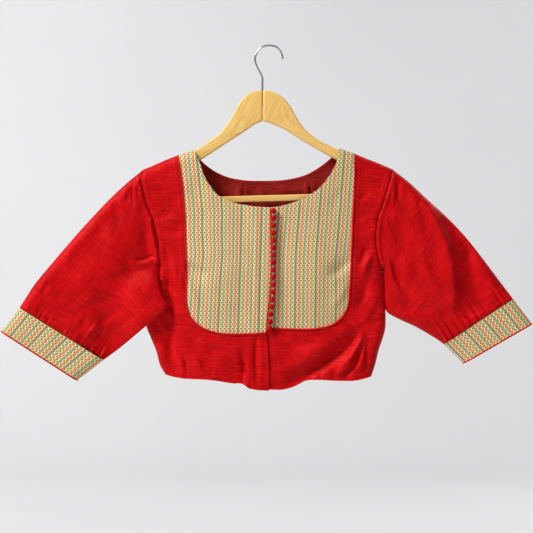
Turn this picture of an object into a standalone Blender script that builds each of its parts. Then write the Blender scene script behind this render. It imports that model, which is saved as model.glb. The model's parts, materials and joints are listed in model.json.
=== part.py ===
"""A choli blouse of red raw silk, with a striped yoke and cuffs, on a wooden hanger.

The blouse hangs flat. Its front faces -Y, left and right are the viewer's, and the
origin is the inside top of the hanger's hook. Places on the cloth are given as
(across, drop) in millimetres: across is +X, and drop is the distance below the hook.
"""

import math

import bmesh
import bpy
from mathutils import Vector
from mathutils.geometry import delaunay_2d_cdt

MM = 0.001

# Cloth, in millimetres
CLOTH = 1.2
LINING = 1.0
SEAM_GAP = 0.4
FOLD_GAP = 0.3
CHEST_DEPTH = 17.0
EDGE_DEPTH = 12.0
CUFF_DEPTH = 9.5
BUST_DEPTH = 5.0
BUST_ACROSS = 68.0
BUST_DROP = 345.0
BUST_REACH = 62.0
SHOULDER_RADIUS = 15.0
SIDE_RADIUS = 16.0
ROUNDNESS = 2.2
MESH_STEP = 20.0
FOLD_ROWS = (0.7, 2.5, 6.0, 12.0)
EDGE_ROWS = (0.7, 2.5, 6.5)
LEFT_LAP_DEPTH = 4.8
LAP_LIFT = 18.5
LAP_DROPS = (329.0, 359.0)
LAP_REACHES = (-62.0, -2.0)
RING_BELLY = {"left": -9.0, "right": 5.0}
LINING_MARGIN = 4.0
LINING_FOLD_MARGIN = 16.0
LINING_GAP = 0.6
LINING_DROP = 296.0

# Trim, in millimetres
PIPING_RADIUS = 1.4
PIPING_GAP = 0.35
PIPING_SINK = 0.5
UNDERLAP = -14.0
OVERLAP_LIFT = 2.6
BUTTON_RADIUS = 4.1
BUTTON_COUNT = 17
BUTTON_TOP = (7.3, 247.0)
BUTTON_BOTTOM = (2.6, 422.5)
BUTTON_LEAN_FROM = 372.0

# Hanger, in millimetres
WOOD_HALF = 5.5
WOOD_ROUND = 4.6
BAR_HEIGHT = 9.8
BAR_THICKNESS = 8.0
BAR_ROUND = 1.6
WIRE_RADIUS = 1.5
BORE_RADIUS = 1.9
BORE_DEPTH = 24.0

# Columns: across, drop
FRONT_NECK = {
    "left": [(-111.9, 154.7), (-103.2, 174.2), (-94.5, 197.7), (-85.8, 211.4),
             (-74.6, 223.8), (-58.4, 232.5), (-33.8, 238.4), (-8.7, 241.4), (2.0, 242.0)],
    "right": [(107.0, 153.0), (103.2, 169.2), (97.0, 184.0), (85.8, 201.5), (71.0, 216.5),
              (51.0, 228.9), (26.3, 237.6), (5.3, 241.7), (UNDERLAP, 241.7)],
}
BACK_NECK = [(-111.9, 154.7), (-102.0, 169.4), (-85.8, 183.1), (-63.5, 194.0), (-33.8, 199.8),
             (-8.7, 200.5), (31.2, 198.0), (56.0, 191.5), (75.9, 180.5), (92.1, 168.2),
             (107.0, 153.0)]
YOKE_SEAM = {
    "left": [(-135.6, 162.9), (-129.2, 204.6), (-125.4, 249.6), (-123.5, 299.1),
             (-122.3, 351.6), (-121.7, 388.8), (-115.5, 406.2), (-103.0, 418.7),
             (-80.7, 428.0), (-50.9, 431.1), (-27.8, 430.4), (-3.8, 428.6)],
    "right": [(128.9, 160.4), (128.7, 199.8), (125.7, 264.5), (123.3, 324.2),
              (121.4, 363.9), (118.4, 388.8), (110.9, 403.8), (95.9, 416.3),
              (73.5, 422.4), (46.2, 423.6), (11.3, 422.4), (UNDERLAP, 422.4)],
}
FRONT_EDGE = {
    "left": [(2.0, 242.0), (2.4, 339.0), (0.2, 378.6), (-2.4, 403.8), (-3.8, 428.6),
             (-1.8, 444.6), (-0.3, 470.0), (0.9, 514.7)],
    "right": [(UNDERLAP, 241.7), (UNDERLAP, 422.4), (UNDERLAP, 512.1)],
}
SHOULDER = {
    "left": [(-111.9, 154.7), (-135.6, 162.9), (-154.2, 170.1), (-171.5, 177.8), (-187.7, 184.5)],
    "right": [(107.0, 153.0), (128.9, 160.4), (148.0, 168.2), (167.3, 175.8), (185.3, 183.5)],
}
ARMHOLE = {
    "left": [(-187.7, 184.5), (-190.6, 197.9), (-187.7, 213.2), (-182.0, 235.2),
             (-173.4, 256.2), (-168.6, 275.4), (-164.7, 294.5), (-163.4, 314.0),
             (-163.2, 327.6)],
    "right": [(185.3, 183.5), (182.6, 196.0), (176.9, 215.1), (169.2, 239.0), (163.5, 256.4),
              (159.8, 284.1), (161.4, 308.6), (164.4, 323.0), (171.0, 336.3)],
}
SIDE_SEAM = {
    "left": [(-163.2, 327.6), (-162.2, 340.0), (-163.0, 352.0), (-168.0, 366.0),
             (-176.0, 381.0), (-182.0, 399.0), (-183.2, 419.1), (-176.5, 437.0),
             (-169.0, 455.1), (-161.3, 481.0), (-154.8, 491.4)],
    "right": [(171.0, 336.3), (170.4, 346.0), (170.6, 361.0), (170.8, 382.0), (173.4, 396.0),
              (175.8, 407.0), (174.8, 425.1), (171.6, 436.7), (165.8, 453.6),
              (160.1, 476.7), (154.4, 494.3)],
}
HEM = {
    "left": [(-154.8, 491.4), (-140.3, 495.2), (-123.0, 497.4), (-85.2, 499.5),
             (-54.2, 503.9), (-36.9, 505.5), (-30.8, 510.6), (-21.8, 513.0), (0.9, 514.7)],
    "right": [(154.4, 494.3), (132.5, 499.7), (100.4, 500.3), (75.2, 498.9), (53.3, 500.3),
              (44.1, 505.5), (27.8, 512.1), (UNDERLAP, 512.1)],
}
BACK_HEM = [(-154.8, 491.4), (-120.0, 496.5), (-60.0, 500.5), (0.0, 502.0), (60.0, 500.5),
            (120.0, 497.5), (154.4, 494.3)]

# Columns: upper fold across, drop; underarm fold across, drop. The last row but one is
# the cuff seam and the last is the cuff's edge.
SLEEVE = {
    "left": [(-187.7, 184.5, -163.2, 327.6), (-214.0, 206.0, -166.0, 336.0),
             (-240.8, 231.3, -168.5, 347.0), (-266.0, 258.0, -161.0, 370.0),
             (-287.0, 281.0, -151.5, 388.0), (-306.0, 303.0, -163.0, 402.0),
             (-329.0, 330.0, -190.0, 425.0), (-351.2, 357.2, -219.0, 449.0),
             (-373.1, 390.6, -246.8, 469.8), (-400.7, 426.8, -286.5, 500.4)],
    "right": [(185.3, 183.5, 171.8, 336.3), (211.0, 203.5, 174.5, 344.0),
              (238.0, 228.7, 175.3, 358.0), (262.0, 250.5, 174.4, 378.0),
              (284.0, 272.5, 178.7, 397.5), (304.0, 295.5, 196.0, 409.0),
              (325.0, 322.5, 220.0, 420.0), (345.5, 350.0, 241.0, 432.0),
              (366.3, 377.7, 262.2, 446.1), (395.0, 415.2, 291.5, 474.9)],
}
CUFF_ROW = 8

# Columns: from across, drop; to across, drop; half width, rise
BODY_CREASES = [
    (-14.5, 434.0, -15.8, 509.0, 4.0, -1.8),
    (-36.8, 468.0, -36.8, 506.0, 5.0, -2.5),
    (-132.0, 452.0, -121.0, 492.0, 7.0, 2.0),
    (137.3, 428.0, 30.8, 506.0, 11.0, -4.5),
    (139.0, 434.0, 98.3, 492.0, 7.0, 2.5),
    (139.4, 452.0, 116.0, 492.0, 6.0, -2.5),
    (156.8, 311.0, 141.8, 344.0, 6.0, 2.5),
    (-150.0, 330.0, -138.0, 372.0, 7.0, -2.0),
]
BACK_CREASES = [
    (-84.0, 420.0, -70.0, 494.0, 9.0, -3.0),
    (80.0, 412.0, 66.0, 494.0, 9.0, -3.0),
    (-140.0, 300.0, -90.0, 350.0, 12.0, -2.5),
    (136.0, 306.0, 92.0, 360.0, 12.0, -2.5),
]
SLEEVE_CREASES = {
    "left": [(-202.5, 200.0, -202.5, 227.0, 6.0, -2.0), (-190.0, 300.0, -246.0, 362.0, 14.0, -2.0),
             (-210.0, 262.0, -300.0, 352.0, 14.0, 2.0), (-215.0, 398.0, -262.0, 424.0, 10.0, -2.5)],
    "right": [(196.0, 203.0, 196.0, 224.0, 6.0, -2.0), (247.0, 262.0, 278.0, 317.0, 12.0, -4.5),
              (292.0, 345.0, 300.0, 392.0, 12.0, -4.0), (186.0, 322.0, 214.0, 372.0, 10.0, -2.5),
              (225.0, 300.0, 262.0, 372.0, 12.0, 2.0)],
}

# The arms' upper edge as far as the neck, columns across, drop. Beyond it they follow the
# shoulder line inside the cloth.
ARM_TOP = {
    "left": [(-8.7, 65.9), (-21.2, 67.4), (-33.8, 73.4), (-43.5, 84.6), (-53.3, 102.0),
             (-63.8, 118.2), (-75.8, 132.3), (-93.8, 145.5)],
    "right": [(-8.7, 65.9), (6.3, 67.7), (21.2, 75.9), (31.2, 87.0), (41.3, 104.4),
              (51.0, 119.4), (63.5, 131.9), (80.9, 143.6)],
}
ARM_TIP = {"left": -219.0, "right": 212.0}
ARM_SEAT = 2.8
# The underside, from the rounded tip back to the middle: columns across, drop
ARM_UNDER = {
    "left": [(-224.0, 222.0), (-222.0, 233.0), (-215.0, 239.5), (-205.0, 241.5),
             (-193.0, 241.5), (-193.0, 224.5), (-171.5, 212.0), (-135.6, 191.0),
             (-93.8, 165.0), (-63.8, 145.5), (-33.8, 126.0), (-16.0, 114.5), (-8.7, 112.0)],
    "right": [(217.0, 217.0), (215.0, 226.0), (208.5, 232.0), (199.0, 234.0), (186.0, 234.0),
              (186.0, 218.5), (167.3, 207.5), (128.9, 186.0), (80.9, 158.5), (51.0, 141.5),
              (21.2, 123.0), (-1.0, 114.0), (-8.7, 112.0)],
}
BAR_LEFT = (-193.0, 233.2)
BAR_RIGHT = (186.0, 222.8)
# Columns: across, drop
HOOK = [(-9.2, 88.0), (-9.2, 66.0), (-9.1, 54.0), (-9.0, 46.8), (-11.3, 41.1), (-15.3, 33.6),
        (-18.2, 27.3), (-19.8, 21.5), (-19.8, 15.3), (-17.6, 9.6), (-14.2, 4.6), (-9.6, 0.8),
        (-4.6, -1.0), (0.0, -1.5), (5.4, -1.3), (10.6, 0.2), (15.2, 3.2), (18.6, 7.4),
        (20.8, 12.6), (21.6, 18.4)]

# Ring places, as shares of the way from the upper fold to the underarm fold
RING_SHARES = (0.0, 0.005, 0.018, 0.05, 0.11, 0.21, 0.34, 0.48, 0.61, 0.73, 0.83, 0.905,
               0.96, 0.99, 1.0)


def smooth_path(rows, step):
    """Points about `step` apart on a smooth curve through the rows."""
    knots = [Vector(row) for row in rows]
    spans = [(b - a).length for a, b in zip(knots, knots[1:])]
    slopes = [(knots[1] - knots[0]) / spans[0]]
    for i in range(1, len(spans)):
        before = (knots[i] - knots[i - 1]) / spans[i - 1]
        after = (knots[i + 1] - knots[i]) / spans[i]
        slopes.append((before * spans[i] + after * spans[i - 1]) / (spans[i] + spans[i - 1]))
    slopes.append((knots[-1] - knots[-2]) / spans[-1])
    points = [knots[0]]
    for i, span in enumerate(spans):
        count = max(1, round(span / step))
        for k in range(1, count + 1):
            t = k / count
            points.append(
                knots[i] * (2 * t**3 - 3 * t**2 + 1)
                + knots[i + 1] * (3 * t**2 - 2 * t**3)
                + slopes[i] * span * (t**3 - 2 * t**2 + t)
                + slopes[i + 1] * span * (t**3 - t**2)
            )
    return points


def at_shares(path, shares):
    """Points at the given shares of a path's length."""
    reached = [0.0]
    for a, b in zip(path, path[1:]):
        reached.append(reached[-1] + (b - a).length)
    points = []
    i = 0
    for share in shares:
        target = share * reached[-1]
        while i < len(path) - 2 and reached[i + 1] < target:
            i += 1
        t = (target - reached[i]) / (reached[i + 1] - reached[i])
        points.append(path[i].lerp(path[i + 1], t))
    return points


def offset_path(path, gap):
    """The path moved sideways by `gap`, to its left as (across, drop) is drawn with +drop up."""
    moved = []
    for i, point in enumerate(path):
        along = path[min(i + 1, len(path) - 1)] - path[max(i - 1, 0)]
        across = Vector((-along.y, along.x)).normalized()
        moved.append(point + across * gap)
    return moved


def close_start(path):
    """The path with close points where it leaves a fold, so that the cloth bends round there."""
    length = sum((b - a).length for a, b in zip(path, path[1:]))
    near = at_shares(path, [0.0, *(gap / length for gap in EDGE_ROWS)])
    return near + [point for point in path if (point - path[0]).length > EDGE_ROWS[-1] + 3.0]


def smoothstep(low, high, value):
    t = min(max((value - low) / (high - low), 0.0), 1.0)
    return t * t * (3 - 2 * t)


class Fold:
    """A line where the flat garment folds from front to back."""

    def __init__(self, path, inside, radius):
        self.path = path
        self.radius = radius
        middle = len(path) // 2
        along = path[middle] - path[middle - 1]
        self.turn = math.copysign(1.0, along.cross(Vector(inside) - path[middle]))

    def reach(self, point):
        """How far inside the fold a point lies. It is negative outside."""
        best = math.inf
        signed = 0.0
        last = len(self.path) - 2
        for i in range(last + 1):
            a = self.path[i]
            along = self.path[i + 1] - a
            rest = point - a
            t = rest.dot(along) / along.length_squared
            past_end = (i == 0 and t < 0) or (i == last and t > 1)
            t = min(max(t, 0.0), 1.0)
            distance = (rest - along * t).length
            if distance < best - 1e-9:
                best = distance
                inside = past_end or along.cross(rest) * self.turn >= 0
                signed = distance if inside else -distance
        return signed

    def fullness(self, point):
        """0 on the fold, and 1 where the cloth is flat again."""
        share = min(max(self.reach(point) / self.radius, 0.0), 1.0)
        return (1 - (1 - share) ** ROUNDNESS) ** (1 / ROUNDNESS)

    def rows(self):
        """Points beside the fold, close enough together to round it."""
        points = []
        for a, b in zip(self.path, self.path[1:]):
            middle = (a + b) / 2
            along = (b - a).normalized()
            inward = Vector((-along.y, along.x)) * self.turn
            points += [(a if gap < 3 else middle) + inward * gap for gap in FOLD_ROWS]
        return points


def sleeve_rings(side):
    """Upper fold and underarm fold points, two rings to each row of the table."""
    rows = [Vector(row) for row in SLEEVE[side]]
    rings = []
    for i in range(len(rows) - 1):
        before = rows[max(i - 1, 0)]
        after = rows[min(i + 2, len(rows) - 1)]
        for t in (0.0, 0.5):
            rounding = (rows[i] + rows[i + 1] - before - after) * (t * (1 - t) / 4)
            ring = rows[i].lerp(rows[i + 1], t) + rounding
            rings.append((Vector(ring[:2]), Vector(ring[2:])))
    rings.append((Vector(rows[-1][:2]), Vector(rows[-1][2:])))
    return rings


def crease_relief(point, creases):
    total = 0.0
    for from_across, from_drop, to_across, to_drop, width, rise in creases:
        start = Vector((from_across, from_drop))
        along = Vector((to_across, to_drop)) - start
        t = min(max((point - start).dot(along) / along.length_squared, 0.0), 1.0)
        distance = (point - start - along * t).length
        total += rise * math.exp(-((distance / width) ** 2))
    return total


RINGS = {side: sleeve_rings(side) for side in ("left", "right")}
SHOULDER_PATH = {side: smooth_path(SHOULDER[side], 12.0) for side in SHOULDER}
ARMHOLE_PATH = {
    side: at_shares(smooth_path(ARMHOLE[side], 5.0), RING_SHARES) for side in ARMHOLE
}
SIDE_PATH = {side: smooth_path(SIDE_SEAM[side], 10.0) for side in SIDE_SEAM}
TOP_FOLD = {
    "left": Fold(SHOULDER_PATH["left"] + [ring[0] for ring in RINGS["left"][1:]],
                 (-180.0, 260.0), SHOULDER_RADIUS),
    "right": Fold(SHOULDER_PATH["right"] + [ring[0] for ring in RINGS["right"][1:]],
                  (180.0, 260.0), SHOULDER_RADIUS),
}
SIDE_FOLD = {
    "left": Fold(SIDE_PATH["left"], (-100.0, 400.0), SIDE_RADIUS),
    "right": Fold(SIDE_PATH["right"], (100.0, 400.0), SIDE_RADIUS),
}
UNDERARM_FOLD = {
    "left": Fold([ring[1] for ring in RINGS["left"]], (-250.0, 380.0), SIDE_RADIUS),
    "right": Fold([ring[1] for ring in RINGS["right"]], (250.0, 360.0), SIDE_RADIUS),
}


# The left side seam, run up past the armhole, which the underarm of that sleeve laps over
LAP_EDGE = Fold([Vector((-163.2, 150.0)), *SIDE_PATH["left"]], (-100.0, 400.0), SIDE_RADIUS)


def side_of(point):
    return "left" if point.x < 0 else "right"


def garment_reach(point):
    side = side_of(point)
    return min(TOP_FOLD[side].reach(point), SIDE_FOLD[side].reach(point))


def body_fullness(point):
    side = side_of(point)
    return min(TOP_FOLD[side].fullness(point), SIDE_FOLD[side].fullness(point))


def flat_depth(point):
    flat = smoothstep(60.0, 150.0, abs(point.x))
    return CHEST_DEPTH + (EDGE_DEPTH - CHEST_DEPTH) * flat


def front_height(point):
    """The front's outer surface, as a distance in front of the garment's middle plane."""
    off = Vector((abs(point.x) - BUST_ACROSS, point.y - BUST_DROP)).length / BUST_REACH
    bust = BUST_DEPTH * math.exp(-off * off)
    relief = crease_relief(point, BODY_CREASES)
    return (flat_depth(point) + bust + relief) * body_fullness(point)


def overlap_height(point):
    """The left front's outer surface, which rises to lie on the right front's underlap."""
    return front_height(point) + OVERLAP_LIFT * smoothstep(-40.0, -17.0, point.x)


def back_height(point):
    relief = crease_relief(point, BACK_CREASES)
    return (flat_depth(point) + relief) * body_fullness(point)


class Skin:
    """A curved surface of the garment: `height` in front of or behind the middle plane."""

    def __init__(self, height, facing, middle=None):
        self.height = height
        self.facing = facing
        self.middle = middle or (lambda point: 0.0)

    def level(self, point):
        return self.middle(point) + self.facing * self.height(point)

    def outward(self, point):
        """The surface's normal. On a fold it points straight out of the flat shape."""
        step = 0.3
        sideways = Vector((step, 0.0))
        down = Vector((0.0, step))
        if self.height(point) < 0.05:
            by_across = self.height(point + sideways) - self.height(point - sideways)
            by_drop = self.height(point + down) - self.height(point - down)
            return Vector((-by_across, 0.0, by_drop)).normalized()
        by_across = self.level(point + sideways) - self.level(point - sideways)
        by_drop = self.level(point + down) - self.level(point - down)
        scale = self.facing / (2 * step)
        return Vector((-by_across * scale, self.facing, by_drop * scale)).normalized()

    def place(self, point, depth=0.0, shift=0.0):
        """A point on the surface, or `depth` under it, in metres."""
        outer = Vector((point.x, self.level(point) + shift, -point.y))
        return (outer - self.outward(point) * depth) * MM


def new_material(name, color, roughness, metallic=0.0):
    material = bpy.data.materials.new(name)
    material.use_nodes = True
    shader = material.node_tree.nodes["Principled BSDF"]
    shader.inputs["Base Color"].default_value = (*color, 1.0)
    shader.inputs["Roughness"].default_value = roughness
    shader.inputs["Metallic"].default_value = metallic
    material.diffuse_color = (*color, 1.0)
    return material


def add_object(name, data, material, collection):
    piece = bpy.data.objects.new(name, data)
    data.materials.append(material)
    collection.objects.link(piece)
    return piece


def add_mesh(name, mesh_builder, material, collection):
    mesh = bpy.data.meshes.new(name)
    bmesh.ops.recalc_face_normals(mesh_builder, faces=mesh_builder.faces)
    mesh_builder.to_mesh(mesh)
    mesh_builder.free()
    mesh.shade_smooth()
    mesh.set_sharp_from_angle(angle=math.radians(40))
    return add_object(name, mesh, material, collection)


def is_inside(point, outline):
    inside = False
    for a, b in zip(outline, outline[1:] + outline[:1]):
        crosses = (a.y > point.y) != (b.y > point.y)
        if crosses and point.x < (b.x - a.x) * (point.y - a.y) / (b.y - a.y) + a.x:
            inside = not inside
    return inside


def edge_distance(point, outline):
    best = math.inf
    for a, b in zip(outline, outline[1:] + outline[:1]):
        along = b - a
        t = min(max((point - a).dot(along) / along.length_squared, 0.0), 1.0)
        best = min(best, (point - a - along * t).length)
    return best


def crease_rows(creases):
    points = []
    for from_across, from_drop, to_across, to_drop, width, _ in creases:
        start = Vector((from_across, from_drop))
        along = Vector((to_across, to_drop)) - start
        beside = Vector((-along.y, along.x)).normalized()
        count = round(along.length / 11.0)
        for k in range(count + 1):
            for share in (-1.4, -0.6, 0.0, 0.6, 1.4):
                points.append(start + along * (k / count) + beside * (share * width))
    return points


def fill_points(outline, folds, creases):
    """Points inside a pattern piece: rows beside its folds and creases, then an even net."""
    chosen = []
    for point in [row for fold in folds for row in fold.rows()]:
        gap = min(fold.reach(point) for fold in folds)
        if is_inside(point, outline) and edge_distance(point, outline) > 0.7 * gap > 0.4:
            chosen.append(point)
    for point in crease_rows(creases):
        clear = all((point - other).length > 4.0 for other in chosen)
        if clear and is_inside(point, outline) and edge_distance(point, outline) > 3.5:
            chosen.append(point)
    row_step = MESH_STEP * 0.87
    drops = [point.y for point in outline]
    acrosses = [point.x for point in outline]
    for row in range(int(min(drops) / row_step), int(max(drops) / row_step) + 1):
        start = int(min(acrosses) / MESH_STEP) - 1
        for column in range(start, int(max(acrosses) / MESH_STEP) + 2):
            point = Vector(((column + 0.5 * (row % 2)) * MESH_STEP, row * row_step))
            clear = all((point - other).length > 0.6 * MESH_STEP for other in chosen)
            if clear and is_inside(point, outline):
                if edge_distance(point, outline) > 0.45 * MESH_STEP:
                    chosen.append(point)
    return chosen


def cloth_panel(name, outline, skin, folds, creases, material, collection,
                depth=0.0, thickness=CLOTH):
    """A flat-cut pattern piece, bent to the garment's surface and given its thickness."""
    flat = outline + fill_points(outline, folds, creases)
    loop = list(range(len(outline)))
    flat, _, faces, _, _, _ = delaunay_2d_cdt(flat, [], [loop], 1, 1e-6)
    builder = bmesh.new()
    shift = skin.facing * FOLD_GAP / 2
    outer = [builder.verts.new(skin.place(point, depth, shift)) for point in flat]
    inner = [builder.verts.new(skin.place(point, depth + thickness, shift)) for point in flat]
    for face in faces:
        builder.faces.new([outer[i] for i in face])
        builder.faces.new([inner[i] for i in reversed(face)])
    close_rim(builder, [outer, inner])
    return add_mesh(name, builder, material, collection)


def close_rim(builder, layers):
    """Joins the open edges of an outer and an inner layer that have the same points."""
    outer, inner = layers
    partner = dict(zip(outer, inner))
    open_edges = [edge for edge in builder.edges if edge.is_boundary and edge.verts[0] in partner]
    for edge in open_edges:
        a, b = edge.verts
        builder.faces.new([a, b, partner[b], partner[a]])


def ring_outline(side, station):
    """The (across, drop) points of one sleeve ring, at every share of its width."""
    rings = RINGS[side]
    index = min(int(station), len(rings) - 2)
    share = station - index
    upper = rings[index][0].lerp(rings[index + 1][0], share)
    lower = rings[index][1].lerp(rings[index + 1][1], share)
    seam = ARMHOLE_PATH[side]
    curve = max(0.0, 1.0 - station / 5.0) ** 2
    belly = RING_BELLY[side] * smoothstep(0.0, 2.0, station) * math.exp(-((station - 4) / 3) ** 2)
    points = []
    for k, place in enumerate(RING_SHARES):
        bulge = seam[k] - seam[0].lerp(seam[-1], place)
        outward = Vector((belly * 9.48 * place**3 * (1 - place), 0.0))
        points.append(upper.lerp(lower, place) + bulge * curve + outward)
    return points


def sleeve_skins(side, station):
    """The front and back skins of a sleeve ring. Under the left arm they lie on the body."""
    last = len(RINGS[side]) - 1
    full = EDGE_DEPTH + (CUFF_DEPTH - EDGE_DEPTH) * station / last

    def lapped(point):
        if side == "right":
            return 0.0
        below = smoothstep(*LAP_DROPS, point.y)
        return below * smoothstep(*LAP_REACHES, LAP_EDGE.reach(point))

    def height(point):
        fullness = min(TOP_FOLD[side].fullness(point), UNDERARM_FOLD[side].fullness(point))
        lap = lapped(point)
        relief = crease_relief(point, SLEEVE_CREASES[side]) * (1 - lap)
        return (full + (LEFT_LAP_DEPTH - full) * lap + relief) * fullness

    def middle(point):
        return -LAP_LIFT * lapped(point)

    return Skin(height, -1, middle), Skin(height, 1, middle)


def tube_ring(side, station, depth, shift):
    """One closed ring of a sleeve or cuff: down the front, then up the back."""
    points = ring_outline(side, station)
    outward = shift if side == "right" else -shift
    points = [point + Vector((outward, 0.0)) for point in points]
    front, back = sleeve_skins(side, station)
    ring = [front.place(point, depth) for point in points]
    ring += [back.place(point, depth) for point in reversed(points[1:-1])]
    return ring


def cloth_tube(name, side, stations, material, collection, first_shift=0.0):
    """A sleeve or a cuff: rings of cloth with an outer and an inner skin, open at both ends."""
    builder = bmesh.new()
    layers = []
    for depth in (0.0, CLOTH):
        layer = []
        for station in stations:
            shift = first_shift if station == stations[0] else 0.0
            ring = tube_ring(side, station, depth, shift)
            layer.append([builder.verts.new(point) for point in ring])
        for lower, upper in zip(layer, layer[1:]):
            for k in range(len(lower)):
                after = (k + 1) % len(lower)
                builder.faces.new([lower[k], lower[after], upper[after]])
                builder.faces.new([lower[k], upper[after], upper[k]])
        layers.append([vert for ring in layer for vert in ring])
    close_rim(builder, layers)
    return add_mesh(name, builder, material, collection)


def cord(name, points, radius, material, collection, closed=False):
    """A round cord or wire through the points, in metres."""
    curve = bpy.data.curves.new(name, "CURVE")
    curve.dimensions = "3D"
    curve.bevel_depth = radius * MM
    curve.bevel_resolution = 2
    curve.use_fill_caps = not closed
    spline = curve.splines.new("POLY")
    spline.points.add(len(points) - 1)
    for target, point in zip(spline.points, points):
        target.co = (*point, 1.0)
    spline.use_cyclic_u = closed
    spline.use_smooth = True
    return add_object(name, curve, material, collection)


def to_mesh_object(piece, collection):
    """Turns a curve into a mesh object with welded caps, so that it can be cut."""
    graph = bpy.context.evaluated_depsgraph_get()
    mesh = bpy.data.meshes.new_from_object(piece.evaluated_get(graph))
    builder = bmesh.new()
    builder.from_mesh(mesh)
    bmesh.ops.remove_doubles(builder, verts=builder.verts, dist=1e-6)
    builder.to_mesh(mesh)
    builder.free()
    name = piece.name
    place = piece.matrix_world.copy()
    bpy.data.objects.remove(piece)
    solid = bpy.data.objects.new(name, mesh)
    solid.matrix_world = place
    collection.objects.link(solid)
    return solid


def flat_board(name, outline, half, rounding, material, collection):
    """A board in the garment's middle plane, cut to an outline and rounded at its edges."""
    curve = bpy.data.curves.new(name, "CURVE")
    curve.dimensions = "2D"
    curve.fill_mode = "BOTH"
    curve.extrude = (half - rounding) * MM
    curve.bevel_depth = rounding * MM
    curve.bevel_resolution = 2
    curve.offset = -rounding * MM
    spline = curve.splines.new("POLY")
    spline.points.add(len(outline) - 1)
    for target, point in zip(spline.points, outline):
        target.co = (point.x * MM, -point.y * MM, 0.0, 1.0)
    spline.use_cyclic_u = True
    board = add_object(name, curve, material, collection)
    board.rotation_euler = (math.pi / 2, 0.0, 0.0)
    return board


def on_shoulder(side, across):
    """The point of the shoulder line at a place across."""
    for a, b in zip(SHOULDER_PATH[side], SHOULDER_PATH[side][1:]):
        if min(a.x, b.x) - 0.01 <= across <= max(a.x, b.x) + 0.01:
            return a.lerp(b, (across - a.x) / (b.x - a.x))
    raise ValueError(f"{across} is off the {side} shoulder")


def shoulder_run(side, start, end):
    """Shoulder line points from one place across to another."""
    between = [p for p in SHOULDER_PATH[side] if min(start, end) + 2 < p.x < max(start, end) - 2]
    if end < start:
        between.sort(key=lambda p: -p.x)
    else:
        between.sort(key=lambda p: p.x)
    return [on_shoulder(side, start), *between, on_shoulder(side, end)]


def seam_edges(side):
    """The yoke seam's path, and the edges of the yoke and of the red front beside it."""
    seam = smooth_path(YOKE_SEAM[side], 11.0)
    away = PIPING_RADIUS + PIPING_GAP
    turn = 1 if side == "left" else -1
    yoke_edge = offset_path(seam, -away * turn)
    front_edge = offset_path(seam, away * turn)
    for edge, sign in ((yoke_edge, -1), (front_edge, 1)):
        outward = -turn * sign
        edge[0] = on_shoulder(side, seam[0].x + outward * away)
    return seam, close_start(yoke_edge), close_start(front_edge)


def make_front(side, skin, material, collection):
    """The red front: beside the yoke, under it, and down to the hem."""
    outward = -1 if side == "left" else 1
    _, _, inner_edge = seam_edges(side)
    armhole = [point - Vector((outward * SEAM_GAP / 2, 0)) for point in ARMHOLE_PATH[side]]
    armhole[0] = on_shoulder(side, armhole[0].x)
    shoulder = shoulder_run(side, inner_edge[0].x, armhole[0].x)
    centre = [point for point in smooth_path(FRONT_EDGE[side], 14.0)
              if point.y > inner_edge[-1].y + 4]
    inner_edge[-1].x = FRONT_EDGE[side][-1][0] if side == "right" else inner_edge[-1].x
    outline = shoulder[:-1] + armhole[:-1] + SIDE_PATH[side][:-1]
    outline += smooth_path(HEM[side], 12.0)
    outline += list(reversed(centre[:-1])) + list(reversed(inner_edge[1:]))
    folds = [TOP_FOLD[side], SIDE_FOLD[side]]
    return cloth_panel(f"front_{side}", outline, skin, folds, BODY_CREASES, material, collection)


def make_yoke(side, skin, material, collection):
    """The striped yoke: from the shoulder, round the neck and down to its curved seam."""
    _, outer_edge, _ = seam_edges(side)
    neck = close_start(smooth_path(FRONT_NECK[side], 10.0))
    edge = [point for point in smooth_path(FRONT_EDGE[side], 14.0)
            if neck[-1].y + 4 < point.y < outer_edge[-1].y - 4]
    strap = shoulder_run(side, neck[0].x, outer_edge[0].x)
    outline = strap[:-1] + outer_edge + list(reversed(edge)) + list(reversed(neck[1:]))
    folds = [TOP_FOLD[side]]
    return cloth_panel(f"yoke_{side}", outline, skin, folds, [], material, collection)


def make_yoke_piping(side, skin, material, collection):
    """The corded piping that lies in the yoke seam."""
    seam, _, _ = seam_edges(side)
    start = on_shoulder(side, seam[0].x).lerp(seam[1], 0.3)
    route = [start, *seam[1:]]
    if side == "right":
        route = [point for point in route if point.x > 4.5]
    depth = PIPING_SINK
    points = [skin.place(point, depth, skin.facing * FOLD_GAP / 2) for point in route]
    return cord(f"yoke_piping_{side}", points, PIPING_RADIUS, material, collection)


def back_outline():
    """The back's outline: shoulders, armholes and sides, with the neck above and the hem below."""
    parts = []
    for side, outward in (("left", -1), ("right", 1)):
        armhole = [p - Vector((outward * (SEAM_GAP / 2), 0)) for p in ARMHOLE_PATH[side]]
        armhole[0] = on_shoulder(side, armhole[0].x)
        shoulder = shoulder_run(side, SHOULDER[side][0][0], armhole[0].x)
        parts.append(shoulder[:-1] + armhole[:-1] + SIDE_PATH[side])
    neck = close_start(smooth_path(BACK_NECK, 11.0))
    neck = list(reversed(close_start(list(reversed(neck)))))
    hem = smooth_path(BACK_HEM, 14.0)
    outline = parts[0] + hem[1:-1] + list(reversed(parts[1])) + list(reversed(neck))[1:-1]
    return outline


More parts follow.
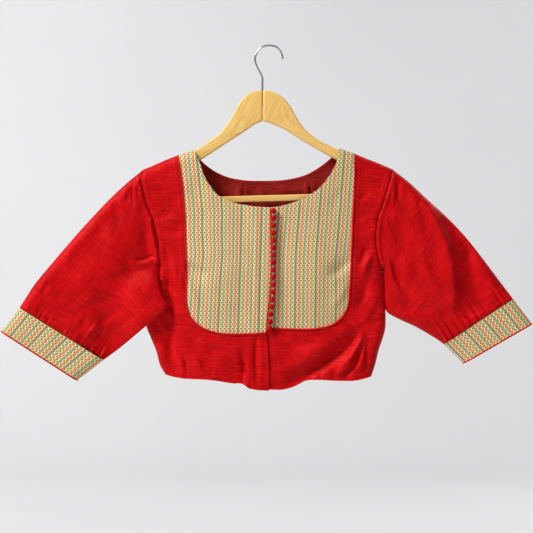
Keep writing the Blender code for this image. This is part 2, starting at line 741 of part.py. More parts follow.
def lining_outline():
    """The part of the back's lining that shows in the neck, clear of the folds and edges."""
    outline = back_outline()
    kept = []
    count = len(outline)
    for i, point in enumerate(outline):
        along = outline[(i + 1) % count] - outline[i - 1]
        inward = Vector((-along.y, along.x)).normalized()
        if not is_inside(point + inward * 0.5, outline):
            inward = -inward
        on_fold = garment_reach(point) < 1.0
        candidate = point + inward * (LINING_FOLD_MARGIN if on_fold else LINING_MARGIN)
        clear = edge_distance(candidate, outline) > LINING_MARGIN * 0.93
        if clear and is_inside(candidate, outline) and candidate.y < LINING_DROP:
            if garment_reach(candidate) > LINING_FOLD_MARGIN - 1.5:
                kept.append(candidate)
    left = max(point.x for point in kept if point.y > LINING_DROP - 12 and point.x < 0)
    right = min(point.x for point in kept if point.y > LINING_DROP - 12 and point.x > 0)
    count = round((right - left) / MESH_STEP)
    bottom = [Vector((left + (right - left) * k / count, LINING_DROP)) for k in range(count + 1)]
    lowest_left = max((p.y, i) for i, p in enumerate(kept) if p.x < 0)[1]
    return kept[:lowest_left + 1] + bottom[1:-1] + kept[lowest_left + 1:]


def make_back(skin, material, lining_material, collection):
    folds = [TOP_FOLD["left"], TOP_FOLD["right"], SIDE_FOLD["left"], SIDE_FOLD["right"]]
    cloth_panel("back", back_outline(), skin, folds, BACK_CREASES, material, collection)
    cloth_panel("back_lining", lining_outline(), skin, [], [], lining_material, collection,
                depth=CLOTH + LINING_GAP, thickness=LINING)


def make_sleeve(side, silk, stripe, trim, collection):
    """A sleeve from the armhole to its cuff, the cuff, and the piping along the cuff's edge."""
    cuff_start = 2 * CUFF_ROW
    last = len(RINGS[side]) - 1
    gap = 0.01
    stations = [*range(cuff_start), cuff_start - gap]
    cloth_tube(f"sleeve_{side}", side, stations, silk, collection, SEAM_GAP / 2)
    cuff_stations = [cuff_start + gap, cuff_start + 1.0, last - 0.08]
    cloth_tube(f"cuff_{side}", side, cuff_stations, stripe, collection)
    ring = tube_ring(side, last - 0.005, PIPING_SINK, 0.0)
    count = len(RING_SHARES)
    near_fold = {1, 2, count - 3, count - 2, count, count + 1, 2 * count - 4, 2 * count - 3}
    ring = [point for k, point in enumerate(ring) if k not in near_fold]
    cord(f"cuff_piping_{side}", ring, PIPING_RADIUS * 0.9, trim, collection, closed=True)


def make_buttons(skin, material, collection):
    """Ball buttons in a row on the right front, beside the edge that laps over it."""
    for number in range(BUTTON_COUNT):
        share = number / (BUTTON_COUNT - 1)
        drop = BUTTON_TOP[1] + (BUTTON_BOTTOM[1] - BUTTON_TOP[1]) * share
        lean = smoothstep(BUTTON_LEAN_FROM, BUTTON_BOTTOM[1] + 20.0, drop)
        across = BUTTON_TOP[0] + (BUTTON_BOTTOM[0] - BUTTON_TOP[0]) * lean
        seat = Vector((across, drop))
        raised = BUTTON_RADIUS + FOLD_GAP + 0.1
        builder = bmesh.new()
        bmesh.ops.create_uvsphere(builder, u_segments=8, v_segments=6, radius=BUTTON_RADIUS * MM)
        ball = add_mesh(f"button_{number + 1:02d}", builder, material, collection)
        ball.location = skin.place(seat, -raised, skin.facing * FOLD_GAP / 2)


def make_hanger(wood, metal, collection, cutters):
    stem = Vector(HOOK[1])
    bore = bmesh.new()
    bmesh.ops.create_cone(bore, cap_ends=True, segments=16, radius1=BORE_RADIUS * MM,
                          radius2=BORE_RADIUS * MM, depth=2 * BORE_DEPTH * MM)
    cutter = add_mesh("hook_bore", bore, metal, cutters)
    cutter.location = (stem.x * MM, 0.0, -stem.y * MM)
    cutter.hide_render = True
    cutter.display_type = "WIRE"
    for side, outward in (("left", -1), ("right", 1)):
        fold = TOP_FOLD[side]
        seat = offset_path(fold.path, ARM_SEAT * fold.turn)
        seat = [point for point in seat if abs(point.x) < abs(ARM_TIP[side])]
        outline = smooth_path(ARM_TOP[side], 13.0) + seat
        outline += [Vector(row) for row in ARM_UNDER[side]]
        outline[0].x += outward * FOLD_GAP / 2
        outline[-1].x += outward * FOLD_GAP / 2
        board = flat_board(f"hanger_arm_{side}", outline, WOOD_HALF, WOOD_ROUND, wood, collection)
        bpy.context.view_layer.update()
        board = to_mesh_object(board, collection)
        bored = board.modifiers.new("bore", "BOOLEAN")
        bored.operation = "DIFFERENCE"
        bored.solver = "EXACT"
        bored.object = cutter
    left = Vector((BAR_LEFT[0] + FOLD_GAP, -BAR_LEFT[1])) * MM
    right = Vector((BAR_RIGHT[0] - FOLD_GAP, -BAR_RIGHT[1])) * MM
    bar = bmesh.new()
    bmesh.ops.create_cube(bar, size=1.0)
    bmesh.ops.scale(bar, verts=bar.verts,
                    vec=((right - left).length, BAR_THICKNESS * MM, BAR_HEIGHT * MM))
    bar = add_mesh("hanger_bar", bar, wood, collection)
    middle = (left + right) / 2
    bar.location = (middle.x, 0.0, middle.y)
    bar.rotation_euler = (0.0, -math.atan2(right.y - left.y, right.x - left.x), 0.0)
    rounding = bar.modifiers.new("rounded edges", "BEVEL")
    rounding.width = BAR_ROUND * MM
    rounding.segments = 2
    route = [Vector((p.x, 0.0, -p.y)) * MM for p in smooth_path(HOOK, 5.0)]
    cord("hanger_hook", route, WIRE_RADIUS, metal, collection)


def new_collection(name):
    collection = bpy.data.collections.new(name)
    bpy.context.scene.collection.children.link(collection)
    return collection


def main():
    for old in list(bpy.data.objects):
        bpy.data.objects.remove(old)
    blouse = new_collection("choli_blouse")
    cutters = new_collection("cutters")
    silk = new_material("red_silk", (0.55, 0.008, 0.010), 0.45)
    stripe = new_material("striped_brocade", (0.80, 0.71, 0.48), 0.55)
    trim = new_material("red_piping", (0.42, 0.006, 0.008), 0.45)
    lining = new_material("maroon_lining", (0.20, 0.010, 0.012), 0.80)
    wood = new_material("honey_wood", (0.80, 0.52, 0.20), 0.40)
    steel = new_material("chromed_steel", (0.75, 0.75, 0.76), 0.15, 1.0)
    front = {"left": Skin(overlap_height, -1), "right": Skin(front_height, -1)}
    for side in ("left", "right"):
        make_front(side, front[side], silk, blouse)
        make_yoke(side, front[side], stripe, blouse)
        make_yoke_piping(side, front[side], trim, blouse)
        make_sleeve(side, silk, stripe, trim, blouse)
    make_back(Skin(back_height, 1), silk, lining, blouse)
    make_buttons(front["right"], silk, blouse)
    make_hanger(wood, steel, blouse, cutters)


main()
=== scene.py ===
"""Choli blouse on a wooden hanger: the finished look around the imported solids.

The cloth is made of thin shells on the form of its solids, with its creases, seams and
trim. Places on the cloth are (across, drop) in millimetres: across is +X, and drop is
the distance below the inside top of the hook. Left and right are the viewer's.
"""

import json
import math

import bmesh
import bpy
import numpy as np
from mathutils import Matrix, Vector
from mathutils.geometry import delaunay_2d_cdt

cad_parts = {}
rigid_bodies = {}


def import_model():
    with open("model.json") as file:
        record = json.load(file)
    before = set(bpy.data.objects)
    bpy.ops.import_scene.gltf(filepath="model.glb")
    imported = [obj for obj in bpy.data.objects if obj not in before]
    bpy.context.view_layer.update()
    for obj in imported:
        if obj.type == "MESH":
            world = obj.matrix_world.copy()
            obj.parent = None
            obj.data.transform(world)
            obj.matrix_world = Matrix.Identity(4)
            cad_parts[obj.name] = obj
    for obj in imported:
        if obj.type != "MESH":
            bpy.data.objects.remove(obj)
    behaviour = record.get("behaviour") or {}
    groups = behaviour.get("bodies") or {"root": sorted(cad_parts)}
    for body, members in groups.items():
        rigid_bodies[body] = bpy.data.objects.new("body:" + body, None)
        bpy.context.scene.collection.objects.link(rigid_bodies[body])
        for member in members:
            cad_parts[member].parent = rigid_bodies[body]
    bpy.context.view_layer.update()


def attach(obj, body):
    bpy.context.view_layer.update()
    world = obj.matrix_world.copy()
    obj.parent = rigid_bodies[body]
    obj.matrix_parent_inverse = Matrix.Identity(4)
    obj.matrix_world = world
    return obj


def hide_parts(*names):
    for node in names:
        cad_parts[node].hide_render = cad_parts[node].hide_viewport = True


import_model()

bl_info = {
    "name": "Choli blouse",
    "version": (1, 0, 0),
    "blender": (4, 5, 0),
    "location": "3D View > Sidebar > Choli",
    "description": "Makes a silk choli blouse with a striped yoke and cuffs on a wooden hanger",
    "category": "Object",
}

MM = 0.001
SIDES = ("left", "right")
OUTWARD = {"left": -1.0, "right": 1.0}

# Form of the hanging blouse, in millimetres, as its solids have it
CLOTH = 1.2
FOLD_GAP = 0.3
SEAM_GAP = 0.4
CHEST_DEPTH = 17.0
EDGE_DEPTH = 12.0
CUFF_DEPTH = 9.5
BUST_DEPTH = 5.0
BUST_ACROSS = 68.0
BUST_DROP = 345.0
BUST_REACH = 62.0
SHOULDER_RADIUS = 15.0
SIDE_RADIUS = 16.0
ROUNDNESS = 2.2
LAP_DEPTH = 4.8
LAP_LIFT = 18.5
LAP_DROPS = (329.0, 359.0)
LAP_REACHES = (-62.0, -2.0)
RING_BELLY = {"left": -9.0, "right": 5.0}
BELLY_SHAPE = 9.48
OVERLAP_LIFT = 2.6
UNDERLAP = -14.0
LINING = 1.0
LINING_GAP = 0.6

# Places along a sleeve are stations, two to a row of SLEEVE
CUFF_ROW = 8
CUFF_START = 2.0 * CUFF_ROW
LAST_STATION = 18.0
STATION_GAP = 0.02

# Piping and stitches, in millimetres
PIPING_RADIUS = 1.4
PIPING_GAP = 0.35
PIPING_SINK = 0.5
PIPING_TUCK = 0.5
PIPING_FROM_SHOULDER = 1.2
PIPING_FROM_CENTRE = 8.0
CUFF_PIPING_RADIUS = 0.9 * PIPING_RADIUS
CORD_STEP = 1.1
BIAS_WRAP = 9.0
STITCH_AWAY = 1.6
STITCH_PITCH = 2.6
STITCH_LENGTH = 1.9
STITCH_RADIUS = 0.28

# Columns: across, drop
FRONT_NECK = {
    "left": [(-111.9, 154.7), (-103.2, 174.2), (-94.5, 197.7), (-85.8, 211.4),
             (-74.6, 223.8), (-58.4, 232.5), (-33.8, 238.4), (-8.7, 241.4), (2, 242)],
    "right": [(107, 153), (103.2, 169.2), (97, 184), (85.8, 201.5), (71, 216.5),
              (51, 228.9), (26.3, 237.6), (5.3, 241.7), (UNDERLAP, 241.7)],
}
BACK_NECK = [(-111.9, 154.7), (-102, 169.4), (-85.8, 183.1), (-63.5, 194), (-33.8, 199.8),
             (-8.7, 200.5), (31.2, 198), (56, 191.5), (75.9, 180.5), (92.1, 168.2),
             (107, 153)]
YOKE_SEAM = {
    "left": [(-135.6, 162.9), (-129.2, 204.6), (-125.4, 249.6), (-123.5, 299.1),
             (-122.3, 351.6), (-121.7, 388.8), (-115.5, 406.2), (-103, 418.7),
             (-80.7, 428), (-50.9, 431.1), (-27.8, 430.4), (-3.8, 428.6)],
    "right": [(128.9, 160.4), (128.7, 199.8), (125.7, 264.5), (123.3, 324.2),
              (121.4, 363.9), (118.4, 388.8), (110.9, 403.8), (95.9, 416.3),
              (73.5, 422.4), (46.2, 423.6), (11.3, 422.4), (UNDERLAP, 422.4)],
}
FRONT_EDGE = {
    "left": [(2, 242), (2.4, 339), (0.2, 378.6), (-2.4, 403.8), (-3.8, 428.6),
             (-1.8, 444.6), (-0.3, 470), (0.9, 514.7)],
    "right": [(UNDERLAP, 241.7), (UNDERLAP, 422.4), (UNDERLAP, 512.1)],
}
SHOULDER = {
    "left": [(-111.9, 154.7), (-135.6, 162.9), (-154.2, 170.1), (-171.5, 177.8), (-187.7, 184.5)],
    "right": [(107, 153), (128.9, 160.4), (148, 168.2), (167.3, 175.8), (185.3, 183.5)],
}
ARMHOLE = {
    "left": [(-187.7, 184.5), (-190.6, 197.9), (-187.7, 213.2), (-182, 235.2),
             (-173.4, 256.2), (-168.6, 275.4), (-164.7, 294.5), (-163.4, 314),
             (-163.2, 327.6)],
    "right": [(185.3, 183.5), (182.6, 196), (176.9, 215.1), (169.2, 239), (163.5, 256.4),
              (159.8, 284.1), (161.4, 308.6), (164.4, 323), (171, 336.3)],
}
SIDE_SEAM = {
    "left": [(-163.2, 327.6), (-165.4, 340), (-167.4, 352), (-170.4, 366),
             (-176, 381), (-182, 399), (-183.2, 419.1), (-176.5, 437),
             (-169, 455.1), (-161.3, 481), (-154.8, 491.4)],
    "right": [(171, 336.3), (172.4, 346), (173.6, 361), (174.2, 382), (175.4, 396),
              (175.8, 407), (174.8, 425.1), (171.6, 436.7), (165.8, 453.6),
              (160.1, 476.7), (154.4, 494.3)],
}
HEM = {
    "left": [(-154.8, 491.4), (-140.3, 495.2), (-123, 497.4), (-85.2, 499.5),
             (-54.2, 503.9), (-36.9, 505.5), (-30.8, 510.6), (-21.8, 513), (0.9, 514.7)],
    "right": [(154.4, 494.3), (132.5, 499.7), (100.4, 500.3), (75.2, 498.9), (53.3, 500.3),
              (44.1, 505.5), (27.8, 512.1), (UNDERLAP, 512.1)],
}
BACK_HEM = [(-154.8, 491.4), (-120, 496.5), (-60, 500.5), (0, 502), (60, 500.5),
            (120, 497.5), (154.4, 494.3)]

# Columns: upper fold across, drop; underarm fold across, drop
SLEEVE = {
    "left": [(-187.7, 184.5, -163.2, 327.6), (-214, 206, -163.4, 336),
             (-240.8, 231.3, -164.4, 347), (-266, 258, -159.6, 370),
             (-287, 281, -151.5, 388), (-306, 303, -163, 402),
             (-329, 330, -190, 425), (-351.2, 357.2, -219, 449),
             (-373.1, 390.6, -246.8, 469.8), (-400.7, 426.8, -286.5, 500.4)],
    "right": [(185.3, 183.5, 171.8, 336.3), (211, 203.5, 171.6, 344),
              (238, 228.7, 172.2, 358), (262, 250.5, 172.4, 378),
              (284, 272.5, 177.4, 397.5), (304, 295.5, 196, 409),
              (325, 322.5, 220, 420), (345.5, 350, 241, 432),
              (366.3, 377.7, 262.2, 446.1), (395, 415.2, 291.5, 474.9)],
}

# Creases. Columns: from across, drop; to across, drop; sideways bend, half width, rise
FRONT_CREASES = [
    (-17, 432, -16.6, 504, 1.5, 3.4, -3.2),
    (-150, 342, -146, 470, -2, 7, -3.6),
    (-38, 452, -28, 500, 4, 4, -1.8),
    (-10.5, 440, -11, 512, -1, 2.2, 1.1),
    (-36.8, 468, -36.8, 506, 0, 3.6, -2.8),
    (-31, 474, -30, 510, 0, 3, 1.4),
    (-132, 452, -121, 492, 3, 5, 2.4),
    (-124, 470, -122, 497, 0, 2.4, -1.8),
    (-85, 482, -85.5, 499, 0, 2.2, -1.4),
    (-150, 330, -138, 372, 3, 6, -2.4),
    (-168, 470, -60, 505, 6, 16, -2.2),
    (-148, 372, -122, 486, 6, 15, -3.2),
    (-72, 452, -40, 500, -4, 9, -1.8),
    (-58, 446, -22, 462, 2, 4, 1.2),
    (-112, 462, -98, 496, -3, 5, 1.4),
    (-131, 344, -128, 364, 0, 2.2, 1.6),
    (-131, 452, -128, 464, 2, 2.4, -1.3),
    (-175, 400, -150, 436, 4, 7, -2.2),
    (-160, 392, -132, 402, 2, 6, 1.4),
    (137.3, 428, 30.8, 506, -7, 11, -6.4),
    (122, 424, 30, 480, -5, 11, 3.2),
    (141.8, 427, 98.3, 496, -5, 4.6, 3.4),
    (139.4, 446, 114, 494, -4, 4.4, -3.6),
    (141.8, 456, 134.9, 485, -2, 4, 2.6),
    (152, 440, 146, 490, 2, 4, -1.8),
    (80, 486, 76, 499, 0, 2.6, -1.6),
    (92, 484, 90, 500, 0, 2.6, 1.2),
    (101, 486, 99, 500, 0, 2.4, -1.4),
    (156.8, 311, 141.8, 344, 2, 4, 2.6),
    (150, 300, 137, 330, 2, 4, -1.6),
    (150, 346, 133, 392, -3, 6, -2),
    (160, 372, 143, 410, -3, 6, 1.8),
    (-162, 246, -134, 250, 1.5, 3, -0.9),
    (-164, 262, -133, 259, -1, 3.4, 0.9),
    (-160, 272, -131, 276, 1, 3, -0.8),
    (-158, 288, -132, 286, 1, 4, 0.8),
    (-153, 300, -140, 330, 2, 5, -1.6),
    (-146, 318, -136, 352, -2, 4, 1.4),
    (-152, 380, -140, 420, 3, 5, 1.4),
    (-166, 206, -152, 226, 1, 4, -1),
    (-115, 448, -60, 456, 2, 6, -1),
    (20, 446, 70, 441, 2, 6, -1.2),
    (-100, 470, -52, 486, 3, 7, -1.3),
    (150, 220, 134, 236, 1, 4, -1),
    (156, 250, 131, 262, 1, 5, -1.2),
]
YOKE_CREASES = [
    (-122, 322, -92, 342, 3, 9, -3.2),
    (-120, 352, -96, 392, 3, 6, 1.6),
    (-24, 260, -22, 400, 1.5, 3, -0.7),
    (-9.5, 246, -11, 420, 1, 2, -0.7),
    (24, 270, 21, 410, 1, 4, -0.6),
    (118, 322, 90, 344, -3, 9, -3),
    (116, 352, 98, 388, -3, 6, 1.4),
    (-112, 210, -100, 236, 2, 6, -1),
    (112, 214, 98, 244, 2, 6, -1),
]
BACK_CREASES = [
    (-84, 420, -70, 494, 4, 8, -3.2),
    (-73, 424, -60, 492, 4, 5, 1.4),
    (80, 412, 66, 494, -4, 8, -3.2),
    (92, 420, 82, 490, -4, 5, 1.4),
    (-140, 300, -90, 350, 6, 11, -3),
    (-150, 318, -108, 372, 6, 6, 1.8),
    (136, 306, 92, 360, -6, 11, -3),
    (148, 320, 110, 378, -6, 6, 1.8),
    (-130, 210, -60, 236, 6, 10, -1.6),
    (126, 214, 50, 244, -6, 10, -1.6),
    (-20, 230, 12, 330, 8, 12, 1.2),
    (-120, 400, -96, 460, -5, 7, 1.5),
    (126, 396, 108, 470, 5, 7, -1.6),
]
LINING_CREASES = [
    (-42, 210, -37, 240, 3, 2.6, -2.6),
    (-34, 212, -33, 232, -1, 2, -1.4),
    (-70, 212, -30, 226, 3, 5, -1.8),
    (59, 204, 65, 236, 3, 2.6, -2.6),
    (68, 200, 73, 228, 1, 2.2, -1.5),
    (18, 209, 52, 217, 2, 5, -1.6),
    (-12, 212, 4, 236, 3, 3.4, -1.7),
]
SLEEVE_CREASES = {
    "left": [(-202.5, 203, -200.8, 236, 1.5, 3, -2.6),
             (-209.4, 216, -207.7, 234, 1, 2.6, -1.6),
             (-198, 206, -196, 232, 1, 2.2, 1.2),
             (-184, 276, -172, 318, 3, 6, -4.2),
             (-176, 262, -166, 312, 2, 3.6, 2.2),
             (-199, 319, -170, 312, 1.5, 3, -3),
             (-196, 326, -174, 321, 1.5, 3.4, 2.4),
             (-228, 338, -178, 331, 3, 9, -1.6),
             (-198, 258, -294, 396, -10, 30, 6),
             (-276, 468, -172, 394, 0, 34, -9.5),
             (-290, 404, -236, 378, -5, 8, -2.4),
             (-236, 300, -206, 342, 6, 9, 1.6),
             (-268, 352, -214, 336, 6, 7, -1.8),
             (-215, 398, -262, 424, 4, 8, -2.8),
             (-273, 433, -255, 410, 2, 3.4, 2.8),
             (-262, 437, -246, 418, 2, 3.4, -2.4),
             (-284, 424, -272, 398, 2, 5, -2),
             (-228, 430, -190, 402, 2, 5, 2),
             (-196, 396, -164, 366, 3, 5, -1.8),
             (-340, 372, -330, 352, 1, 4, -1.4),
             (-228, 232, -219, 262, 3, 6, -1.4),
             (-188, 226, -196, 262, 3, 7, 1.6)],
    "right": [(196, 203, 195, 230, 1.5, 2.6, -2.8),
              (203, 208, 203, 224, 1, 2.4, 1.4),
              (189, 206, 187, 240, 1, 2.4, 1.6),
              (259, 254, 307, 320, -3, 12, -8),
              (300, 306, 320, 398, 6, 18, -9.5),
              (236, 238, 269, 312, -4, 9, 4.2),
              (266, 296, 274, 398, -5, 10, 4.8),
              (240, 236, 268, 396, -15, 40, 6.5),
              (212, 226, 226, 290, -4, 12, 2.4),
              (225, 300, 258, 372, 5, 9, 2.4),
              (186, 322, 214, 372, 4, 7, -4),
              (180, 318, 196, 366, 3, 4, 2.2),
              (200, 316, 232, 356, 4, 6, 1.8),
              (206, 376, 246, 398, 4, 8, -2.6),
              (214, 400, 252, 414, 3, 4, 2),
              (196, 262, 216, 312, 5, 8, -2),
              (176, 250, 190, 296, 3, 5, 1.8)],
}
SLEEVE_BACK_CREASES = {
    "left": [(-206, 208, -202, 240, 2, 3.4, -2.2), (-232, 300, -196, 350, 6, 9, -3.2),
             (-300, 402, -212, 362, -8, 14, -3.6), (-262, 290, -296, 360, 6, 10, 2.4),
             (-240, 420, -262, 396, 2, 5, 2.2)],
    "right": [(198, 206, 196, 236, 2, 3.4, -2.2), (232, 290, 256, 362, -6, 9, -3.4),
              (196, 318, 222, 372, 5, 8, -3.2), (262, 300, 292, 372, 5, 10, 2.4),
              (246, 398, 268, 384, 2, 5, 2)],
}

# Buttons: top and bottom of the row (across, drop), and where it starts to lean
BUTTON_COUNT = 17
BUTTON_RADIUS = 4.4
BUTTON_TOP = (7.3, 247.0)
BUTTON_BOTTOM = (0.2, 422.5)
BUTTON_LEAN_FROM = 352.0

# Hanger. The arms' upper edge as far as the neck, and their underside back from the tip
WOOD_HALF = 5.5
WOOD_ROUND = 4.2
ARM_TOP = {
    "left": [(-8.7, 65.9), (-21.2, 67.4), (-33.8, 73.4), (-43.5, 84.6), (-53.3, 102),
             (-63.8, 118.2), (-75.8, 132.3), (-93.8, 145.5)],
    "right": [(-8.7, 65.9), (6.3, 67.7), (21.2, 75.9), (31.2, 87), (41.3, 104.4),
              (51, 119.4), (63.5, 131.9), (80.9, 143.6)],
}
ARM_TIP = {"left": -219, "right": 212.0}
ARM_SEAT = 2.8
ARM_UNDER = {
    "left": [(-224, 222), (-222, 233), (-215, 239.5), (-205, 241.5),
             (-193, 241.5), (-193, 224.5), (-171.5, 212), (-135.6, 191),
             (-93.8, 165), (-63.8, 145.5), (-33.8, 126), (-16, 114.5), (-8.7, 112)],
    "right": [(217, 217), (215, 226), (208.5, 232), (199, 234), (186, 234),
              (186, 218.5), (167.3, 207.5), (128.9, 186), (80.9, 158.5), (51, 141.5),
              (21.2, 123), (-1, 114), (-8.7, 112)],
}
BAR_LEFT = (-193, 233.2)
BAR_RIGHT = (186, 222.8)
BAR_HEIGHT = 9.8
BAR_THICKNESS = 8.0
BAR_ROUND = 1.6
WIRE_RADIUS = 1.5
HOOK = [(-9.2, 88), (-9.2, 66), (-9.1, 54), (-9, 46.8), (-11.3, 41.1), (-15.3, 33.6),
        (-18.2, 27.3), (-19.8, 21.5), (-19.8, 15.3), (-17.6, 9.6), (-14.2, 4.6), (-9.6, 0.8),
        (-4.6, -1), (0, -1.5), (5.4, -1.3), (10.6, 0.2), (15.2, 3.2), (18.6, 7.4),
        (20.8, 12.6), (21.6, 18.4)]

# Brocade, in millimetres
STRIPE_PITCH = 6.08
ZIGZAG_PITCH = 6.5
CUFF_STRIPE = {"left": 32.6, "right": 37.0}
CUFF_STRETCH = 0.945

# Fine meshing, in millimetres
PANEL_STEP = 3.0
EDGE_STEP = 3.0
SEAM_REACH = 12.0
ON_FOLD = 0.03
FOLD_ROWS = (0.3, 0.8, 1.6, 2.7, 4.2, 6.2)
POINTS_AT_ONCE = 4000
CORD_SIDES = 14


# Paths and distances

def smooth_path(rows, step):
    """Points about `step` apart on a smooth curve through the rows."""
    knots = np.array(rows, float)
    spans = np.linalg.norm(np.diff(knots, axis=0), axis=1)[:, None]
    chords = np.diff(knots, axis=0) / spans
    inner = (chords[:-1] * spans[1:] + chords[1:] * spans[:-1]) / (spans[1:] + spans[:-1])
    slopes = np.vstack([chords[:1], inner, chords[-1:]])
    points = [knots[:1]]
    for i, span in enumerate(spans[:, 0]):
        count = max(1, round(span / step))
        t = (np.arange(1, count + 1) / count)[:, None]
        points.append(
            knots[i] * (2 * t**3 - 3 * t**2 + 1)
            + knots[i + 1] * (3 * t**2 - 2 * t**3)
            + slopes[i] * span * (t**3 - 2 * t**2 + t)
            + slopes[i + 1] * span * (t**3 - t**2)
        )
    return np.vstack(points)


def unit_rows(vectors):
    """The vectors, one to a row, each made one unit long."""
    return vectors / np.linalg.norm(vectors, axis=1)[:, None]


def lengths_along(path):
    """How far along a path each of its points is."""
    return np.concatenate([[0.0], np.cumsum(np.linalg.norm(np.diff(path, axis=0), axis=1))])


def at_shares(path, shares):
    """Points at the given shares of a path's length."""
    reached = lengths_along(path)
    target = np.asarray(shares) * reached[-1]
    return np.stack([np.interp(target, reached, path[:, k]) for k in range(path.shape[1])], 1)


def beside_path(path):
    """The way to one side of a path at each of its points."""
    along = np.gradient(path, axis=0)
    return unit_rows(np.stack([-along[:, 1], along[:, 0]], 1))


def offset_path(path, gap):
    """The path moved sideways by `gap`."""
    return path + beside_path(path) * gap


def smoothstep(low, high, value):
    """0 at `low` and 1 at `high`, smooth between."""
    t = np.clip((value - low) / (high - low), 0.0, 1.0)
    return t * t * (3 - 2 * t)


def nearest(points, path):
    """Each point's distance to a path, how far along it the nearest place is, and its side."""
    start = path[:-1]
    along = np.diff(path, axis=0)
    length = np.linalg.norm(along, axis=1)
    reached = np.concatenate([[0.0], np.cumsum(length)])
    distances, places, sides = [], [], []
    for part in np.array_split(points, len(points) // POINTS_AT_ONCE + 1):
        rest = part[:, None] - start
        raw = (rest * along).sum(2) / length**2
        share = raw.clip(0.0, 1.0)
        gap = np.linalg.norm(rest - along * share[..., None], axis=2)
        k = gap.argmin(1)
        row = np.arange(len(part))
        cross = along[k, 0] * rest[row, k, 1] - along[k, 1] * rest[row, k, 0]
        beyond = ((k == 0) & (raw[row, k] < 0)) | ((k == len(start) - 1) & (raw[row, k] > 1))
        distances.append(gap[row, k])
        places.append(reached[k] + share[row, k] * length[k])
        sides.append(np.where(beyond, 0.0, np.sign(cross)))
    return np.concatenate(distances), np.concatenate(places), np.concatenate(sides)


class Fold:
    """A line where the flat garment folds from front to back."""

    def __init__(self, path, inside, radius):
        self.path = path
        self.radius = radius
        middle = len(path) // 2
        along = path[middle] - path[middle - 1]
        to_inside = np.array(inside) - path[middle]
        self.turn = math.copysign(1.0, along[0] * to_inside[1] - along[1] * to_inside[0])

    def reach(self, points):
        """How far inside the fold each point lies. It is negative outside."""
        distance, _, side = nearest(points, self.path)
        return np.where(side * self.turn >= 0, distance, -distance)

    def fullness(self, points):
        """0 on the fold, and 1 where the cloth is flat again."""
        reach = self.reach(points)
        share = np.clip(np.where(reach < ON_FOLD, 0.0, reach) / self.radius, 0.0, 1.0)
        return (1 - (1 - share) ** ROUNDNESS) ** (1 / ROUNDNESS)


def crease_relief(points, creases, strength=1.0):
    """Soft ridges and troughs, each deepest in its middle and fading out at its ends."""
    total = np.zeros(len(points))
    for from_across, from_drop, to_across, to_drop, bend, width, rise in creases:
        t = np.linspace(0.0, 1.0, 9)[:, None]
        start = np.array([from_across, from_drop])
        along = np.array([to_across, to_drop]) - start
        beside = np.array([-along[1], along[0]]) / np.hypot(*along)
        path = start + along * t + beside * (bend * 4 * t * (1 - t))
        near = (np.abs(points - path.mean(0)) < np.abs(along).max() + 4 * width).all(1)
        if not near.any():
            continue
        distance, place, side = nearest(points[near], path)
        length = lengths_along(path)[-1]
        fade = 0.25 + 0.75 * np.sin(np.pi * np.clip(place / length, 0.0, 1.0)) ** 0.7
        lean = 1.0 + 0.35 * side
        total[near] += rise * strength * fade * np.exp(-((distance / (width * lean)) ** 2))
    return total


def waves(points, seed, scale, height):
    """Gentle unevenness: a few crossing waves about `scale` millimetres long."""
    draw = np.random.default_rng(seed)
    total = np.zeros(len(points))
    for _ in range(9):
        angle = draw.uniform(0.0, 2 * math.pi)
        pitch = scale * draw.uniform(0.6, 1.7)
        direction = np.array([math.cos(angle), math.sin(angle)])
        total += np.sin(2 * math.pi * (points @ direction) / pitch + draw.uniform(0.0, 2 * math.pi))
    return total * height / 3.0


def puckers(points, seam, seed, pitch, height, reach):
    """Short uneven gathers that run away from a seam."""
    distance, place, _ = nearest(points, seam)
    draw = np.random.default_rng(seed)
    total = np.zeros(len(points))
    for _ in range(5):
        length = pitch * draw.uniform(0.6, 1.8)
        total += np.sin(2 * math.pi * place / length + draw.uniform(0.0, 2 * math.pi))
    swell = 0.6 + 0.4 * np.sin(2 * math.pi * place / (pitch * 5.3) + seed)
    fade = np.exp(-((distance / reach) ** 2)) * (1 - np.exp(-((distance / 1.2) ** 2)))
    return height / 2.5 * total * swell * fade


# The garment's form

def sleeve_rings(side, stations):
    """Upper and underarm fold points of the sleeve at these stations, two to a table row."""
    rows = np.array(SLEEVE[side])
    row = np.clip(np.asarray(stations, float) / 2.0, 0.0, len(rows) - 1.0)
    i = np.minimum(row.astype(int), len(rows) - 2)
    t = (row - i)[:, None]
    before, here = rows[np.maximum(i - 1, 0)], rows[i]
    after, last = rows[i + 1], rows[np.minimum(i + 2, len(rows) - 1)]
    ring = 0.5 * (2 * here + (after - before) * t
                  + (2 * before - 5 * here + 4 * after - last) * t**2
                  + (3 * here - before - 3 * after + last) * t**3)
    return ring[:, :2], ring[:, 2:]


FOLD_STATIONS = np.arange(0.125, LAST_STATION + 0.01, 0.125)
SHOULDER_PATH = {side: smooth_path(SHOULDER[side], EDGE_STEP) for side in SIDES}
SIDE_PATH = {side: smooth_path(SIDE_SEAM[side], EDGE_STEP) for side in SIDES}
TOP_FOLD = {
    side: Fold(np.vstack([SHOULDER_PATH[side], sleeve_rings(side, FOLD_STATIONS)[0]]),
               (OUTWARD[side] * 180.0, 260.0), SHOULDER_RADIUS)
    for side in SIDES
}
SIDE_FOLD = {
    side: Fold(SIDE_PATH[side], (OUTWARD[side] * 100.0, 400.0), SIDE_RADIUS) for side in SIDES
}
UNDERARM_FOLD = {
    side: Fold(sleeve_rings(side, np.concatenate([[0.0], FOLD_STATIONS]))[1],
               (OUTWARD[side] * 250.0, 370.0), SIDE_RADIUS)
    for side in SIDES
}
LAP_EDGE = Fold(np.vstack([[(-163.2, 150.0)], SIDE_PATH["left"]]), (-100.0, 400.0), SIDE_RADIUS)
YOKE_SEAM_PATH = {side: smooth_path(YOKE_SEAM[side], EDGE_STEP) for side in SIDES}
